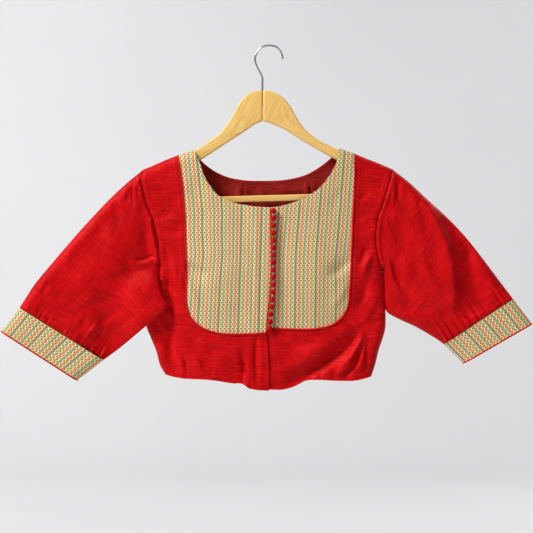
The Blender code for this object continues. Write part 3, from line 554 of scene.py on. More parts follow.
ARMHOLE_SEAM = {side: smooth_path(ARMHOLE[side], EDGE_STEP) for side in SIDES}


def fullness_between(points, *folds):
    """0 on either of two folds, and 1 where the cloth is flat again."""
    return np.minimum(*(fold.fullness(points) for fold in folds))


def body_fullness(points):
    """0 at the shoulder and side folds, and 1 where the body is flat again."""
    values = np.empty(len(points))
    for side, here in (("left", points[:, 0] < 0), ("right", points[:, 0] >= 0)):
        if here.any():
            values[here] = fullness_between(points[here], TOP_FOLD[side], SIDE_FOLD[side])
    return values


def flat_depth(points):
    """Half the garment's thickness away from its folds, less towards its sides."""
    flat = smoothstep(60.0, 150.0, np.abs(points[:, 0]))
    return CHEST_DEPTH + (EDGE_DEPTH - CHEST_DEPTH) * flat


def bust_relief(points):
    """The light shaping at the bust."""
    off = np.hypot(np.abs(points[:, 0]) - BUST_ACROSS, points[:, 1] - BUST_DROP) / BUST_REACH
    return BUST_DEPTH * np.exp(-off * off)


def seam_dip(points, seams, depth=0.7, reach=2.0):
    """The cloth turning in at its sewn edges."""
    total = np.zeros(len(points))
    for seam in seams:
        distance, _, _ = nearest(points, seam)
        total = np.maximum(total, depth * np.exp(-((distance / reach) ** 2)))
    return total


class Skin:
    """A curved surface of the garment: `height` in front of or behind the middle plane."""

    def __init__(self, height, facing, middle=None):
        self.height = height
        self.facing = facing
        self.middle = middle or (lambda points: 0.0)

    def level(self, points):
        return self.middle(points) + self.facing * self.height(points)

    def sample(self, points):
        """Levels and surface normals. On a fold the normals point straight out."""
        step = 0.3
        sideways = np.array([step, 0.0])
        down = np.array([0.0, step])
        level = self.level(points)
        by_across = (self.level(points + sideways) - level) / step * self.facing
        by_drop = (self.level(points + down) - level) / step * self.facing
        normals = np.stack([-by_across, np.full(len(points), float(self.facing)), by_drop], 1)
        folded = self.height(points) < 0.05
        if folded.any():
            edge = points[folded]
            out_across = self.height(edge + sideways) - self.height(edge - sideways)
            out_drop = self.height(edge + down) - self.height(edge - down)
            straight_out = np.full(len(edge), 1e-6 * self.facing)
            normals[folded] = np.stack([-out_across, straight_out, out_drop], 1)
        return level, unit_rows(normals)

    def place(self, points, *depths, shift=0.0):
        """Points at these depths under the surface, in metres, and the surface's normals."""
        level, normals = self.sample(points)
        surface = np.stack([points[:, 0], level + shift, -points[:, 1]], 1)
        return [(surface - normals * depth) * MM for depth in depths] + [normals]


# Meshes

def dress(piece, finish, slot, *nodes):
    """Gives a piece its material. It rides with the part in the place of these solids."""
    piece.data.materials.append(finish_named(finish))
    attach(piece, "root")
    if nodes:
        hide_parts(*nodes)
    return piece


def add_piece(mesh, finish, slot, *nodes):
    """Links a mesh as a piece of the same name."""
    piece = bpy.data.objects.new(mesh.name, mesh)
    bpy.context.scene.collection.objects.link(piece)
    return dress(piece, finish, slot, *nodes)


def near_seams(points, seams):
    """1 on a seam, and 0 from SEAM_REACH away from it."""
    distance = np.min([nearest(points, seam)[0] for seam in seams], axis=0)
    return 1.0 - np.clip(distance / SEAM_REACH, 0.0, 1.0)


def vertex_places(mesh):
    """A mesh's points, one to a row."""
    places = np.empty(len(mesh.vertices) * 3)
    mesh.vertices.foreach_get("co", places)
    return places.reshape(-1, 3)


def lay_uvs(mesh, uvs):
    """Gives each of a mesh's points its place on the cloth, in metres."""
    layer = mesh.uv_layers.active or mesh.uv_layers.new()
    layer.name = "cloth"
    corner = np.empty(len(mesh.loops), np.int32)
    mesh.loops.foreach_get("vertex_index", corner)
    layer.data.foreach_set("uv", np.asarray(uvs, np.float32)[corner].ravel())


def smooth(mesh, sharp=50.0):
    """Shades a mesh smooth, but for the edges that turn by more than `sharp` degrees."""
    mesh.shade_smooth()
    mesh.set_sharp_from_angle(angle=math.radians(sharp))


def mesh_from(name, points, faces, uvs, near=None):
    """A smooth mesh with a place on the cloth for each of its points."""
    mesh = bpy.data.meshes.new(name)
    mesh.from_pydata(points.tolist(), [], faces)
    lay_uvs(mesh, uvs)
    if near is not None:
        seam = mesh.attributes.new("near_seam", "FLOAT", "POINT")
        seam.data.foreach_set("value", np.asarray(near, np.float32))
    smooth(mesh)
    return mesh


def ring_faces(rows, around, closed=False):
    """Four-sided faces between rings of points, with `around` points to a ring."""
    k = np.arange(around)
    after = (k + 1) % around
    faces = []
    for row in range(rows if closed else rows - 1):
        here, there = row * around, (row + 1) % rows * around
        faces += np.stack([here + k, here + after, there + after, there + k], 1).tolist()
    return faces


def end_faces(rows, around):
    """The two faces that close a tube's ends."""
    return [list(range(around))[::-1], [(rows - 1) * around + k for k in range(around)]]


def shell(name, outer, inner, faces, uvs, near):
    """A closed wall from an outer skin's faces, the same faces on the inner skin, and a rim."""
    count = len(outer)
    faces = np.asarray(faces)
    ends = np.concatenate([faces[:, [0, 1]], faces[:, [1, 2]], faces[:, [2, 0]]])
    key = np.sort(ends, axis=1)
    _, index, times = np.unique(key, axis=0, return_index=True, return_counts=True)
    rim = ends[index[times == 1]]
    inside = faces[:, ::-1] + count
    every = faces.tolist() + inside.tolist()
    every += [[b, a, a + count, b + count] for a, b in rim.tolist()]
    return mesh_from(name, np.vstack([outer, inner]), every, np.vstack([uvs, uvs]),
                     np.concatenate([near, near]))


def facing_out(points, faces, outward):
    """The faces turned so that they look along `outward`, a normal for each point."""
    a, b, c = (points[faces[:, k]] for k in range(3))
    agree = (np.cross(b - a, c - a) * outward[faces[:, 0]]).sum()
    return faces if agree > 0 else faces[:, ::-1]


def inside_outline(points, outline):
    """Which of the points lie inside a closed outline."""
    after = np.roll(outline, -1, axis=0)
    inside = np.zeros(len(points), bool)
    for a, b in zip(outline, after):
        if a[1] != b[1]:
            crosses = (a[1] > points[:, 1]) != (b[1] > points[:, 1])
            at = (b[0] - a[0]) * (points[:, 1] - a[1]) / (b[1] - a[1]) + a[0]
            inside ^= crosses & (points[:, 0] < at)
    return inside


def close_near_folds(outline, folds):
    """The outline with close points where it leaves a fold."""
    points = []
    after = np.roll(outline, -1, axis=0)
    reach = np.min([fold.reach(outline) for fold in folds], axis=0)
    next_reach = np.roll(reach, -1)
    for a, b, ra, rb in zip(outline, after, reach, next_reach):
        points.append(a)
        leaves = min(ra, rb) < 5.0 and max(ra, rb) > 0.2
        for t in (np.arange(1, 8) / 8 if leaves else ()):
            points.append(a + (b - a) * t)
    return np.array(points)


def net_points(outline, folds, step):
    """Points inside a pattern piece: close rows beside its folds, then an even net."""
    rows = []
    for fold in folds:
        inward = beside_path(fold.path) * fold.turn
        for gap in FOLD_ROWS:
            points = fold.path + inward * gap
            reach = np.min([other.reach(points) for other in folds], axis=0)
            points = points[np.abs(reach - gap) < 0.1]
            distance, _, _ = nearest(points, np.vstack([outline, outline[:1]]))
            rows.append(points[inside_outline(points, outline) & (distance > min(0.7 * gap, 1.0))])
    low, high = outline.min(0), outline.max(0)
    across = np.arange(low[0], high[0], step)
    drops = np.arange(low[1], high[1], step * 0.87)
    grid = np.array([(x + 0.5 * step * (k % 2), y) for k, y in enumerate(drops) for x in across])
    grid = grid[inside_outline(grid, outline)]
    distance, _, _ = nearest(grid, np.vstack([outline, outline[:1]]))
    grid = grid[distance > 0.45 * step]
    if folds:
        reach = np.min([fold.reach(grid) for fold in folds], axis=0)
        grid = grid[reach > FOLD_ROWS[-1] + 0.5 * step]
    return np.vstack([*rows, grid])


def cloth_panel(name, outline, skin, folds, uv_of, seams, step, depth=0.0, thickness=CLOTH):
    """A flat-cut pattern piece, bent to the garment's surface and given its thickness."""
    if folds:
        outline = close_near_folds(outline, folds)
    flat = np.vstack([outline, net_points(outline, folds, step)])
    loop = list(range(len(outline)))
    flat, _, faces, _, _, _ = delaunay_2d_cdt([Vector(p) for p in flat], [], [loop], 1, 1e-6)
    flat = np.array([tuple(p) for p in flat])
    outer, inner, normals = skin.place(flat, depth, depth + thickness,
                                       shift=skin.facing * FOLD_GAP / 2)
    faces = facing_out(outer, np.array(faces), normals)
    return shell(name, outer, inner, faces, uv_of(flat) * MM, near_seams(flat, seams))


def straight_uv(points):
    """Across and along the straight grain."""
    return np.stack([points[:, 0], -points[:, 1]], 1)


def stripe_uv(points):
    """Across and along the brocade's stripes, which lean as the yoke hangs."""
    x, drop = points[:, 0], points[:, 1]
    outer_left = smoothstep(-25.0, -100.0, x)
    left = 1.0 + 2.8 * outer_left - 0.028 * (drop - 270.0)
    left -= 0.13 * outer_left * np.maximum(250.0 - drop, 0.0)
    left -= 0.030 * outer_left * np.maximum(drop - 340.0, 0.0)
    left += 3.0 * outer_left * np.exp(-(((drop - 312.0) / 24.0) ** 2))
    right = 0.080 * np.maximum(313.0 - drop, 0.0) - 0.012 * np.maximum(drop - 313.0, 0.0)
    right -= 2.0 * smoothstep(70.0, 118.0, x) * np.exp(-(((drop - 330.0) / 26.0) ** 2))
    on_left = 0.3 - (x - left)
    on_right = (x - right) + 1.89
    return np.stack([np.where(x < 3.0, on_left, on_right), -drop], 1)


# The blouse's pieces

def front_height(side):
    """How far a red front stands before the middle plane, as a function of place."""
    yoke = YOKE_SEAM_PATH[side]
    armhole = ARMHOLE_SEAM[side]

    def height(points):
        relief = bust_relief(points) + crease_relief(points, FRONT_CREASES, 1.5)
        relief += waves(points, 11, 34.0, 0.35) + waves(points, 12, 13.0, 0.10)
        relief += puckers(points, yoke, 3, 9.0, 0.35, 9.0)
        relief += puckers(points, armhole, 4, 11.0, 0.55, 10.0)
        relief += puckers(points, smooth_path(HEM[side], 6.0), 6, 26.0, 0.9, 16.0)
        relief -= seam_dip(points, [yoke], 0.9, 2.0) + seam_dip(points, [armhole], 0.8, 1.8)
        return (flat_depth(points) + relief) * body_fullness(points) + lap_lift(points, side)

    return height


def yoke_height(side):
    """How far a yoke half stands before the middle plane, as a function of place."""
    seam = YOKE_SEAM_PATH[side]
    neck = smooth_path(FRONT_NECK[side], EDGE_STEP)

    def height(points):
        relief = bust_relief(points) + crease_relief(points, YOKE_CREASES, 1.6)
        relief += waves(points, 21, 46.0, 0.22) + puckers(points, seam, 23, 10.0, 0.25, 8.0)
        relief -= seam_dip(points, [seam], 0.6, 1.8) + seam_dip(points, [neck], 0.5, 1.4)
        return (flat_depth(points) + relief) * body_fullness(points) + lap_lift(points, side)

    return height


def lap_lift(points, side):
    """The left front lies over the right front's underlap."""
    if side == "right":
        return 0.0
    return OVERLAP_LIFT * smoothstep(-40.0, -17.0, points[:, 0]) * body_fullness(points)


def back_relief(points):
    """The back's creases, unevenness and gathers."""
    relief = crease_relief(points, BACK_CREASES, 1.5)
    relief += waves(points, 31, 40.0, 0.55) + waves(points, 32, 14.0, 0.12)
    for side in SIDES:
        relief += puckers(points, ARMHOLE_SEAM[side], 34, 11.0, 0.6, 11.0)
        relief -= seam_dip(points, [ARMHOLE_SEAM[side]], 0.8, 1.8)
    return relief + puckers(points, smooth_path(BACK_HEM, 6.0), 36, 24.0, 1.0, 18.0)


def back_height(points):
    return (flat_depth(points) + back_relief(points)) * body_fullness(points)


def lining_height(points):
    """The lining lies on the back, and only stands away from it towards the front."""
    away = crease_relief(points, LINING_CREASES, 1.5) - 0.5 * np.abs(waves(points, 41, 26.0, 0.7))
    return (flat_depth(points) + back_relief(points) + away) * body_fullness(points)


def seam_edges(side):
    """The edges of the yoke and of the red front beside the yoke's seam."""
    seam = YOKE_SEAM_PATH[side]
    away = PIPING_RADIUS + PIPING_GAP - PIPING_TUCK
    turn = 1 if side == "left" else -1
    edges = [offset_path(seam, -away * turn), offset_path(seam, away * turn)]
    for edge, sign in zip(edges, (-1, 1)):
        across = seam[0, 0] - turn * sign * away
        edge[0] = on_shoulder(side, across)
    return edges


def on_shoulder(side, across):
    """The place on the shoulder line at this distance across."""
    path = SHOULDER_PATH[side]
    order = np.argsort(path[:, 0])
    return np.array([across, np.interp(across, path[order, 0], path[order, 1])])


def shoulder_run(side, start, end):
    """The shoulder line between two places across."""
    path = SHOULDER_PATH[side]
    low, high = min(start, end) + 1.0, max(start, end) - 1.0
    between = path[(path[:, 0] > low) & (path[:, 0] < high)]
    between = between[np.argsort(between[:, 0])]
    if end < start:
        between = between[::-1]
    return np.vstack([[on_shoulder(side, start)], between, [on_shoulder(side, end)]])


def armhole_edge(side):
    """The body's edge at the armhole, a quarter of SEAM_GAP inside the seam."""
    path = ARMHOLE_SEAM[side] - np.array([OUTWARD[side] * SEAM_GAP / 4, 0.0])
    path[0] = on_shoulder(side, path[0, 0])
    return path


def front_outline(side):
    """The red front's outline, from the shoulder round to the yoke seam."""
    inner_edge = seam_edges(side)[1]
    armhole = armhole_edge(side)
    shoulder = shoulder_run(side, inner_edge[0, 0], armhole[0, 0])
    if side == "right":
        inner_edge[-1, 0] = UNDERLAP
    centre = smooth_path(FRONT_EDGE[side], EDGE_STEP)
    centre = centre[centre[:, 1] > inner_edge[-1, 1] + 1.5]
    return np.vstack([shoulder[:-1], armhole[:-1], SIDE_PATH[side][:-1],
                      smooth_path(HEM[side], EDGE_STEP), centre[:-1][::-1], inner_edge[1:][::-1]])


def yoke_outline(side):
    """The yoke half's outline, from the shoulder round to the neck."""
    outer_edge = seam_edges(side)[0]
    neck = smooth_path(FRONT_NECK[side], EDGE_STEP)
    edge = smooth_path(FRONT_EDGE[side], EDGE_STEP)
    edge = edge[(edge[:, 1] > neck[-1, 1] + 1.5) & (edge[:, 1] < outer_edge[-1, 1] - 1.5)]
    strap = shoulder_run(side, neck[0, 0], outer_edge[0, 0])
    return np.vstack([strap[:-1], outer_edge, edge[::-1], neck[1:][::-1]])


def back_outline():
    """The back's outline, from one shoulder round to the other and the neck."""
    parts = []
    for side in SIDES:
        armhole = armhole_edge(side)
        shoulder = shoulder_run(side, SHOULDER[side][0][0], armhole[0, 0])
        parts.append(np.vstack([shoulder[:-1], armhole[:-1], SIDE_PATH[side]]))
    neck = smooth_path(BACK_NECK, EDGE_STEP)
    hem = smooth_path(BACK_HEM, EDGE_STEP)
    return np.vstack([parts[0], hem[1:-1], parts[1][::-1], neck[::-1][1:-1]])


def lining_outline():
    """The lining that shows inside the neck, from near the neck's edge down past the front."""
    neck = smooth_path(BACK_NECK, EDGE_STEP)[2:-2]
    neck = offset_path(neck, 1.6)
    left = [(neck[0, 0] - 9.0, neck[0, 1] + 17.0), (-126.0, 215.0), (-129.0, 255.0),
            (-130.0, 292.0)]
    right = [(127.0, 292.0), (127.0, 255.0), (124.0, 212.0),
             (neck[-1, 0] + 9.0, neck[-1, 1] + 17.0)]
    sides = [smooth_path(rows, 6.0) for rows in (left, right)]
    bottom = np.array([(x, 293.0) for x in np.arange(-124.0, 124.0, 6.0)])
    return np.vstack([neck[::-1], sides[0], bottom, sides[1]])


def ring_shares(count):
    """Shares of the way from the upper fold to the underarm fold, closest at the folds."""
    even = np.linspace(0.0, math.pi, count + 2)
    return np.delete((1 - np.cos(even)) / 2, (1, -2))


def ring_points(side, stations, shares):
    """The (across, drop) points of sleeve rings, one row for each station. A ring's belly is
    widest at three quarters of its way down, where BELLY_SHAPE makes its height 1."""
    upper, lower = sleeve_rings(side, stations)
    seam = at_shares(smooth_path(ARMHOLE[side], 2.0), shares)
    bulge = seam - (seam[0] + (seam[-1] - seam[0]) * shares[:, None])
    curve = np.maximum(0.0, 1.0 - stations / 5.0) ** 2
    belly = RING_BELLY[side] * smoothstep(0.0, 2.0, stations) * np.exp(-(((stations - 4) / 3) ** 2))
    points = upper[:, None] + (lower - upper)[:, None] * shares[None, :, None]
    points = points + bulge[None] * curve[:, None, None]
    points[..., 0] += belly[:, None] * BELLY_SHAPE * shares**3 * (1 - shares)
    return points


def cuff_seam(side):
    """The line across the sleeve where the cuff is sewn on."""
    return ring_points(side, np.array([CUFF_START]), ring_shares(24))[0]


def sleeve_height(side, creases, seed):
    """The height of a sleeve's front or back skin above its middle surface."""
    seam_at_cuff = cuff_seam(side)
    armhole = ARMHOLE_SEAM[side]
    gathers, gather_reach = (4.2, 25.0) if side == "right" else (2.0, 13.0)

    def height(points):
        _, along, _ = nearest(points, TOP_FOLD[side].path)
        depth = EDGE_DEPTH + (CUFF_DEPTH - EDGE_DEPTH) * np.clip((along - 80.0) / 320.0, 0.0, 1.0)
        fullness = fullness_between(points, TOP_FOLD[side], UNDERARM_FOLD[side])
        lap = lapped(points) if side == "left" else 0.0
        relief = crease_relief(points, creases)
        relief += waves(points, seed, 42.0, 0.55) + waves(points, seed + 1, 16.0, 0.14)
        relief += puckers(points, seam_at_cuff, seed + 2, 9.5, gathers, gather_reach)
        relief += puckers(points, armhole, seed + 3, 9.0, 0.7, 11.0)
        relief -= seam_dip(points, [seam_at_cuff], 0.9, 1.9) + seam_dip(points, [armhole], 0.8, 1.8)
        relief += 1.3 * np.exp(-(((nearest(points, armhole)[0] - 4.5) / 2.6) ** 2))
        return (depth + (LAP_DEPTH - depth) * lap + relief * (1 - 0.8 * lap)) * fullness

    return height


def cuff_height(side, seed):
    """How far a cuff stands off the middle plane, as a function of place."""
    def height(points):
        fullness = fullness_between(points, TOP_FOLD[side], UNDERARM_FOLD[side])
        return (CUFF_DEPTH + 0.2 + waves(points, seed, 48.0, 0.35)) * fullness

    return height


def lapped(points):
    """How far the left underarm lies over the body, from 0 to 1."""
    below = smoothstep(*LAP_DROPS, points[:, 1])
    return below * smoothstep(*LAP_REACHES, LAP_EDGE.reach(points))


def sleeve_skins(side, front_height_of, back_height_of):
    if side == "right":
        return Skin(front_height_of, -1), Skin(back_height_of, 1)
    middle = lambda points: -LAP_LIFT * lapped(points)
    return Skin(front_height_of, -1, middle), Skin(back_height_of, 1, middle)


def cloth_tube(name, side, stations, count, skins, seams, first_shift=0.0, first_stripe=None):
    """A sleeve or a cuff: rings of cloth, open at both ends, with an outer and an inner skin."""
    shares = ring_shares(count)
    flat = ring_points(side, stations, shares)
    flat[0, :, 0] += OUTWARD[side] * first_shift
    outer, inner, normals = [], [], []
    for skin, keep in ((skins[0], slice(0, count)), (skins[1], slice(count - 2, 0, -1))):
        part = flat[:, keep]
        shape = (len(stations), part.shape[1], 3)
        placed = skin.place(part.reshape(-1, 2), 0.0, CLOTH)
        for parts, values in zip((outer, inner, normals), placed):
            parts.append(values.reshape(shape))
    around = outer[0].shape[1] + outer[1].shape[1]
    outer, inner, normals = (np.concatenate(parts, 1).reshape(-1, 3)
                             for parts in (outer, inner, normals))
    rings = outer.reshape(len(stations), around, 3)
    quads = np.array(ring_faces(len(stations), around))
    faces = facing_out(outer, quads[:, [0, 1, 2, 0, 2, 3]].reshape(-1, 3), normals)
    near = near_seams(np.stack([outer[:, 0], -outer[:, 2]], 1) / MM, seams)
    return shell(name, outer, inner, faces, tube_uv(rings, count, first_stripe), near)


def tube_uv(rings, count, first_stripe):
    """Metres round the tube, on both sides alike, and metres along it. On a cuff the stripes
    count back from `first_stripe` millimetres."""
    step = np.linalg.norm(np.diff(rings, axis=1), axis=2)
    around = np.concatenate([np.zeros((len(rings), 1)), np.cumsum(step, axis=1)], 1)
    total = around[:, -1] + np.linalg.norm(rings[:, 0] - rings[:, -1], axis=1)
    around = np.minimum(around, total[:, None] - around)
    mean = around.mean(0)
    uv = np.empty(rings.shape[:2] + (2,))
    if first_stripe is None:
        uv[..., 0] = mean[None]
    else:
        uv[..., 0] = first_stripe * MM - mean[None] * CUFF_STRETCH
    uv[..., 1] = lengths_along(rings[:, count // 2])[:, None]
    return uv.reshape(-1, 2)


# Finishes

def arithmetic(operation, swapped=False):
    """A method that works on two shader values, or on one and a number."""
    def work(self, other):
        return self.finish.math(operation, *((other, self) if swapped else (self, other)))

    return work


class Value:
    """A shader socket that takes part in Python arithmetic."""

    __add__ = arithmetic("ADD")
    __radd__ = arithmetic("ADD", swapped=True)
    __sub__ = arithmetic("SUBTRACT")
    __rsub__ = arithmetic("SUBTRACT", swapped=True)
    __mul__ = arithmetic("MULTIPLY")
    __truediv__ = arithmetic("DIVIDE")

    def __init__(self, finish, socket):
        self.finish = finish
        self.socket = socket

    def __abs__(self):
        return self.finish.math("ABSOLUTE", self)


class Finish:
    """A material whose nodes are made by plain calls."""

    def __init__(self, name, **uniform):
        self.material = bpy.data.materials.new(name)
        self.material.use_nodes = True
        self.tree = self.material.node_tree
        self.shader = self.tree.nodes["Principled BSDF"]
        for socket, value in uniform.items():
            self.shader.inputs[socket.replace("_", " ")].default_value = value

    def node(self, kind, settings=None, sockets=None, out=0):
        """A new node's output, with its settings made first and then its sockets."""
        made = self.tree.nodes.new(kind)
        for name, value in (settings or {}).items():
            setattr(made, name, value)
        for name, value in (sockets or {}).items():
            self.feed(made.inputs[name], value)
        return Value(self, made.outputs[out])

    def feed(self, socket, value):
        if isinstance(value, Value):
            self.tree.links.new(value.socket, socket)
        elif socket.type == "RGBA" and len(value) == 3:
            socket.default_value = (*value, 1.0)
        else:
            socket.default_value = value

    def math(self, operation, *values):
        return self.node("ShaderNodeMath", {"operation": operation}, dict(enumerate(values)))

    def mix(self, factor, first, second):
        """A colour between two."""
        return self.node("ShaderNodeMix", {"data_type": "RGBA"},
                         {0: factor, 6: first, 7: second}, 2)

    def clamp01(self, value, low, high):
        """0 below `low`, 1 above `high`, smooth between."""
        return self.node("ShaderNodeMapRange", {"interpolation_type": "SMOOTHSTEP"},
                         {"Value": value, "From Min": low, "From Max": high})

    def within(self, value, inner, outer):
        """1 where the value is within `inner` of 0, and 0 from `outer` on."""
        return 1.0 - self.clamp01(abs(value), inner, outer)

    def ramp(self, value, stops, constant=False):
        made = self.tree.nodes.new("ShaderNodeValToRGB")
        ramp = made.color_ramp
        ramp.interpolation = "CONSTANT" if constant else "LINEAR"
        for number, (place, color) in enumerate(stops):
            stop = ramp.elements[number] if number < 2 else ramp.elements.new(place)
            stop.position = place
            stop.color = (*color, 1.0)
        self.feed(made.inputs[0], value)
        return Value(self, made.outputs[0])

    def cloth_place(self):
        """The two cloth coordinates, in millimetres."""
        uv = self.node("ShaderNodeUVMap", {"uv_map": "cloth"})
        parts = self.tree.nodes.new("ShaderNodeSeparateXYZ")
        self.tree.links.new(uv.socket, parts.inputs[0])
        return Value(self, parts.outputs[0]) * 1000.0, Value(self, parts.outputs[1]) * 1000.0

    def seam_distance(self):
        """Millimetres to the nearest seam, up to SEAM_REACH."""
        near = self.node("ShaderNodeAttribute", {"attribute_name": "near_seam"}, out=2)
        return (1.0 - near) * SEAM_REACH

    def object_place(self):
        return self.node("ShaderNodeTexCoord", out=3)

    def noise(self, place, scale, detail=2.0, roughness=0.5):
        return self.node("ShaderNodeTexNoise", sockets={
            "Vector": place, "Scale": scale, "Detail": detail, "Roughness": roughness})

    def cloth_noise(self, across, along, layer, detail, roughness=0.5):
        """Noise over two cloth coordinates, other noise for another `layer`."""
        place = self.node("ShaderNodeCombineXYZ", sockets={0: across, 1: along, 2: layer})
        return self.noise(place, 1.0, detail, roughness)

    def bump(self, height, distance, strength=1.0):
        made = self.node("ShaderNodeBump", sockets={
            "Height": height, "Distance": distance, "Strength": strength})
        self.feed(self.shader.inputs["Normal"], made)

    def set(self, **sockets):
        for name, value in sockets.items():
            self.feed(self.shader.inputs[name.replace("_", " ")], value)


def silk_finish(name, deep, middle, bright, roughness=0.46, slub=1.0, seam=1.2, sewn=0.0):
    """Raw silk: uneven thick threads across the cloth, small creases, and a dark line of painted
    shade at the sewn edges.
    """
    finish = Finish(name, Sheen_Weight=0.05, Sheen_Roughness=0.4,
                    Sheen_Tint=(1.0, 0.06, 0.05, 1.0), Specular_IOR_Level=0.55,
                    Specular_Tint=(1.0, 0.10, 0.08, 1.0))
    weft, warp = finish.cloth_place()
    threads = finish.cloth_noise(weft * 0.035, warp * 0.85, 0.0, 3.0, 0.6)
    slubs = finish.cloth_noise(weft * 0.055, warp * 1.9, 3.7, 1.0)
    fine = finish.cloth_noise(weft * 1.6, warp * 0.12, 8.1, 2.0)
    patches = finish.cloth_noise(weft * 0.03, warp * 0.03, 1.3, 3.0)
    thick = finish.clamp01(slubs, 0.60, 0.72)
    tone = threads * 0.52 + fine * 0.22 + patches * 0.26
    color = finish.ramp(tone, [(0.34, deep), (0.50, middle), (0.66, bright)])
    color = finish.mix(thick * (0.30 * slub), color, bright)
    # Painted shade: the colour darkens in a thin line `sewn` millimetres from each seam, for the
    # shadow in the seam's groove.
    away = finish.seam_distance()
    line = finish.within(away - sewn, 0.25, seam)
    shade = tuple(0.22 * value for value in deep)
    finish.set(Base_Color=finish.mix(line * 0.75, color, shade))
    finish.set(Roughness=threads * 0.18 + (roughness - 0.09))
    allowance = finish.clamp01(away, sewn + 0.6, sewn + 1.8) * finish.within(away, 7.0, 9.0)
    wander = finish.cloth_noise(weft * 0.055, warp * 0.075, 4.4, 3.0, 0.6)
    where = finish.clamp01(patches, 0.46, 0.62)
    crumple = finish.within(wander - 0.5, 0.0, 0.05) * where
    weave = finish.math("SINE", weft * 5.2) * 0.10 + finish.math("SINE", warp * 6.1) * 0.10
    cloth = threads * 0.7 + thick * (0.8 * slub) + fine * 0.25 + weave
    relief = cloth * 0.32 + crumple * 0.30 + allowance * 0.35 + wander * 0.8
    finish.bump(relief, 0.0010, 0.8)
    return finish.material


def brocade_finish():
    """Cream brocade: coloured zigzag columns between ovals of gold and diamonds of white."""
    look = bpy.context.scene.choli_cloth
    finish = Finish("cream_striped_brocade", Specular_IOR_Level=0.12)
    across, along = finish.cloth_place()
    column = across / STRIPE_PITCH
    row = along / ZIGZAG_PITCH
    number = finish.math("FLOOR", column + 0.5)
    beside = column - number
    turn = finish.math("COSINE", row * (2 * math.pi))
    fifth = finish.math("FLOORED_MODULO", number, 5.0)

    def wrapped(value, middle):
        """The distance to the nearest of the repeats, in repeats."""
        shifted = value - (middle - 0.5)
        return shifted - finish.math("FLOOR", shifted) - 0.5

    def spots(middle_across, middle_along, width, height):
        sideways = wrapped(column, middle_across) / width
        endways = wrapped(row, middle_along) / height
        gap = sideways * sideways + endways * endways
        return 1.0 - finish.clamp01(gap, 0.65, 1.35)

    gold = finish.math("MAXIMUM", spots(0.36, 0.0, 0.20, 0.25), spots(-0.29, 0.5, 0.20, 0.25))
    white = finish.math("MAXIMUM", spots(-0.36, 0.0, 0.25, 0.33), spots(0.27, 0.5, 0.25, 0.33))
    bent = finish.within(wrapped(column, 0.455) - turn * 0.185, 0.07, 0.16)
    white = finish.math("MAXIMUM", white, bent)
    line = finish.within(beside + turn * 0.15, 0.12, 0.24)
    stops = [(0.0, look.pink), (0.2, look.olive), (0.4, look.purple), (0.6, look.orange),
             (0.8, look.teal)]
    stripe = finish.ramp(fifth / 5.0 + 0.05, stops, constant=True)
    is_olive = finish.within(fifth - 1.0, 0.3, 0.6)
    ground = finish.mix(white, look.cream, look.white)
    cloth = finish.mix(gold * 0.95, ground, look.gold)
    threads = finish.cloth_noise(across * 0.5, along * 3.5, 0.0, 2.0)
    bead = finish.math("COSINE", row * (4 * math.pi)) * 0.14 + 0.86
    soft_line = line * bead * (1.0 - is_olive * 0.25)
    pattern = finish.mix(soft_line * 0.95, cloth, stripe)
    shaded = finish.mix(threads * 0.12, pattern, look.thread_shade)
    finish.set(Base_Color=shaded, Roughness=0.50 + threads * 0.15)
    weave = finish.math("SINE", along * 9.0) * 0.16 + finish.math("SINE", across * 7.0) * 0.10
    finish.bump(gold * 0.8 + line * 0.6 + white * 0.4 + weave + threads * 0.3, 0.00030, 0.75)
    return finish.material


def wood_finish():
    """Varnished pale wood, with the grain along the piece."""
    look = bpy.context.scene.choli_hanger
    finish = Finish("honey_wood", Coat_Weight=0.25, Coat_Roughness=0.18, Specular_IOR_Level=0.45)
    along, across = finish.cloth_place()
    wander = finish.cloth_noise(along * 0.012, across * 0.09, 2.0, 3.0)
    grain = finish.cloth_noise(along * 0.02, across * 0.75 + wander * 3.0, 0.0, 4.0, 0.65)
    pores = finish.cloth_noise(along * 0.25, across * 4.5, 5.0, 1.0)
    bands = finish.clamp01(grain, 0.38, 0.66)
    color = finish.mix(bands, look.light_wood, look.dark_wood)
    dark = finish.clamp01(pores, 0.60, 0.74)
    finish.set(Base_Color=finish.mix(dark * 0.22, color, look.pore))
    finish.set(Roughness=0.36 + grain * 0.12)
    finish.bump(grain * 0.5 - dark * 0.6, 0.00010, 0.5)
    return finish.material


def chrome_finish():
    """Plated wire with faint drawing marks."""
    finish = Finish("plated_wire", Metallic=1.0)
    marks = finish.noise(finish.object_place(), 900.0, 2.0)
    finish.set(Base_Color=finish.mix(marks, (0.40, 0.41, 0.43), (0.66, 0.67, 0.69)))
    finish.set(Roughness=0.24 + marks * 0.12)
    return finish.material


def thread_finish():
    finish = Finish("dark_red_thread", Roughness=0.6, Sheen_Weight=0.2)
    twist = finish.noise(finish.object_place(), 1400.0, 2.0)
    finish.set(Base_Color=finish.mix(twist, (0.05, 0.002, 0.003), (0.13, 0.004, 0.006)))
    return finish.material


def backdrop_finish():
    finish = Finish("pale_studio_paper", Roughness=0.9, Specular_IOR_Level=0.2)
    tone = finish.noise(finish.object_place(), 1.1, 2.0)
    finish.set(Base_Color=finish.mix(tone, (0.70, 0.70, 0.71), (0.76, 0.76, 0.77)))
    return finish.material


MATERIALS = {}


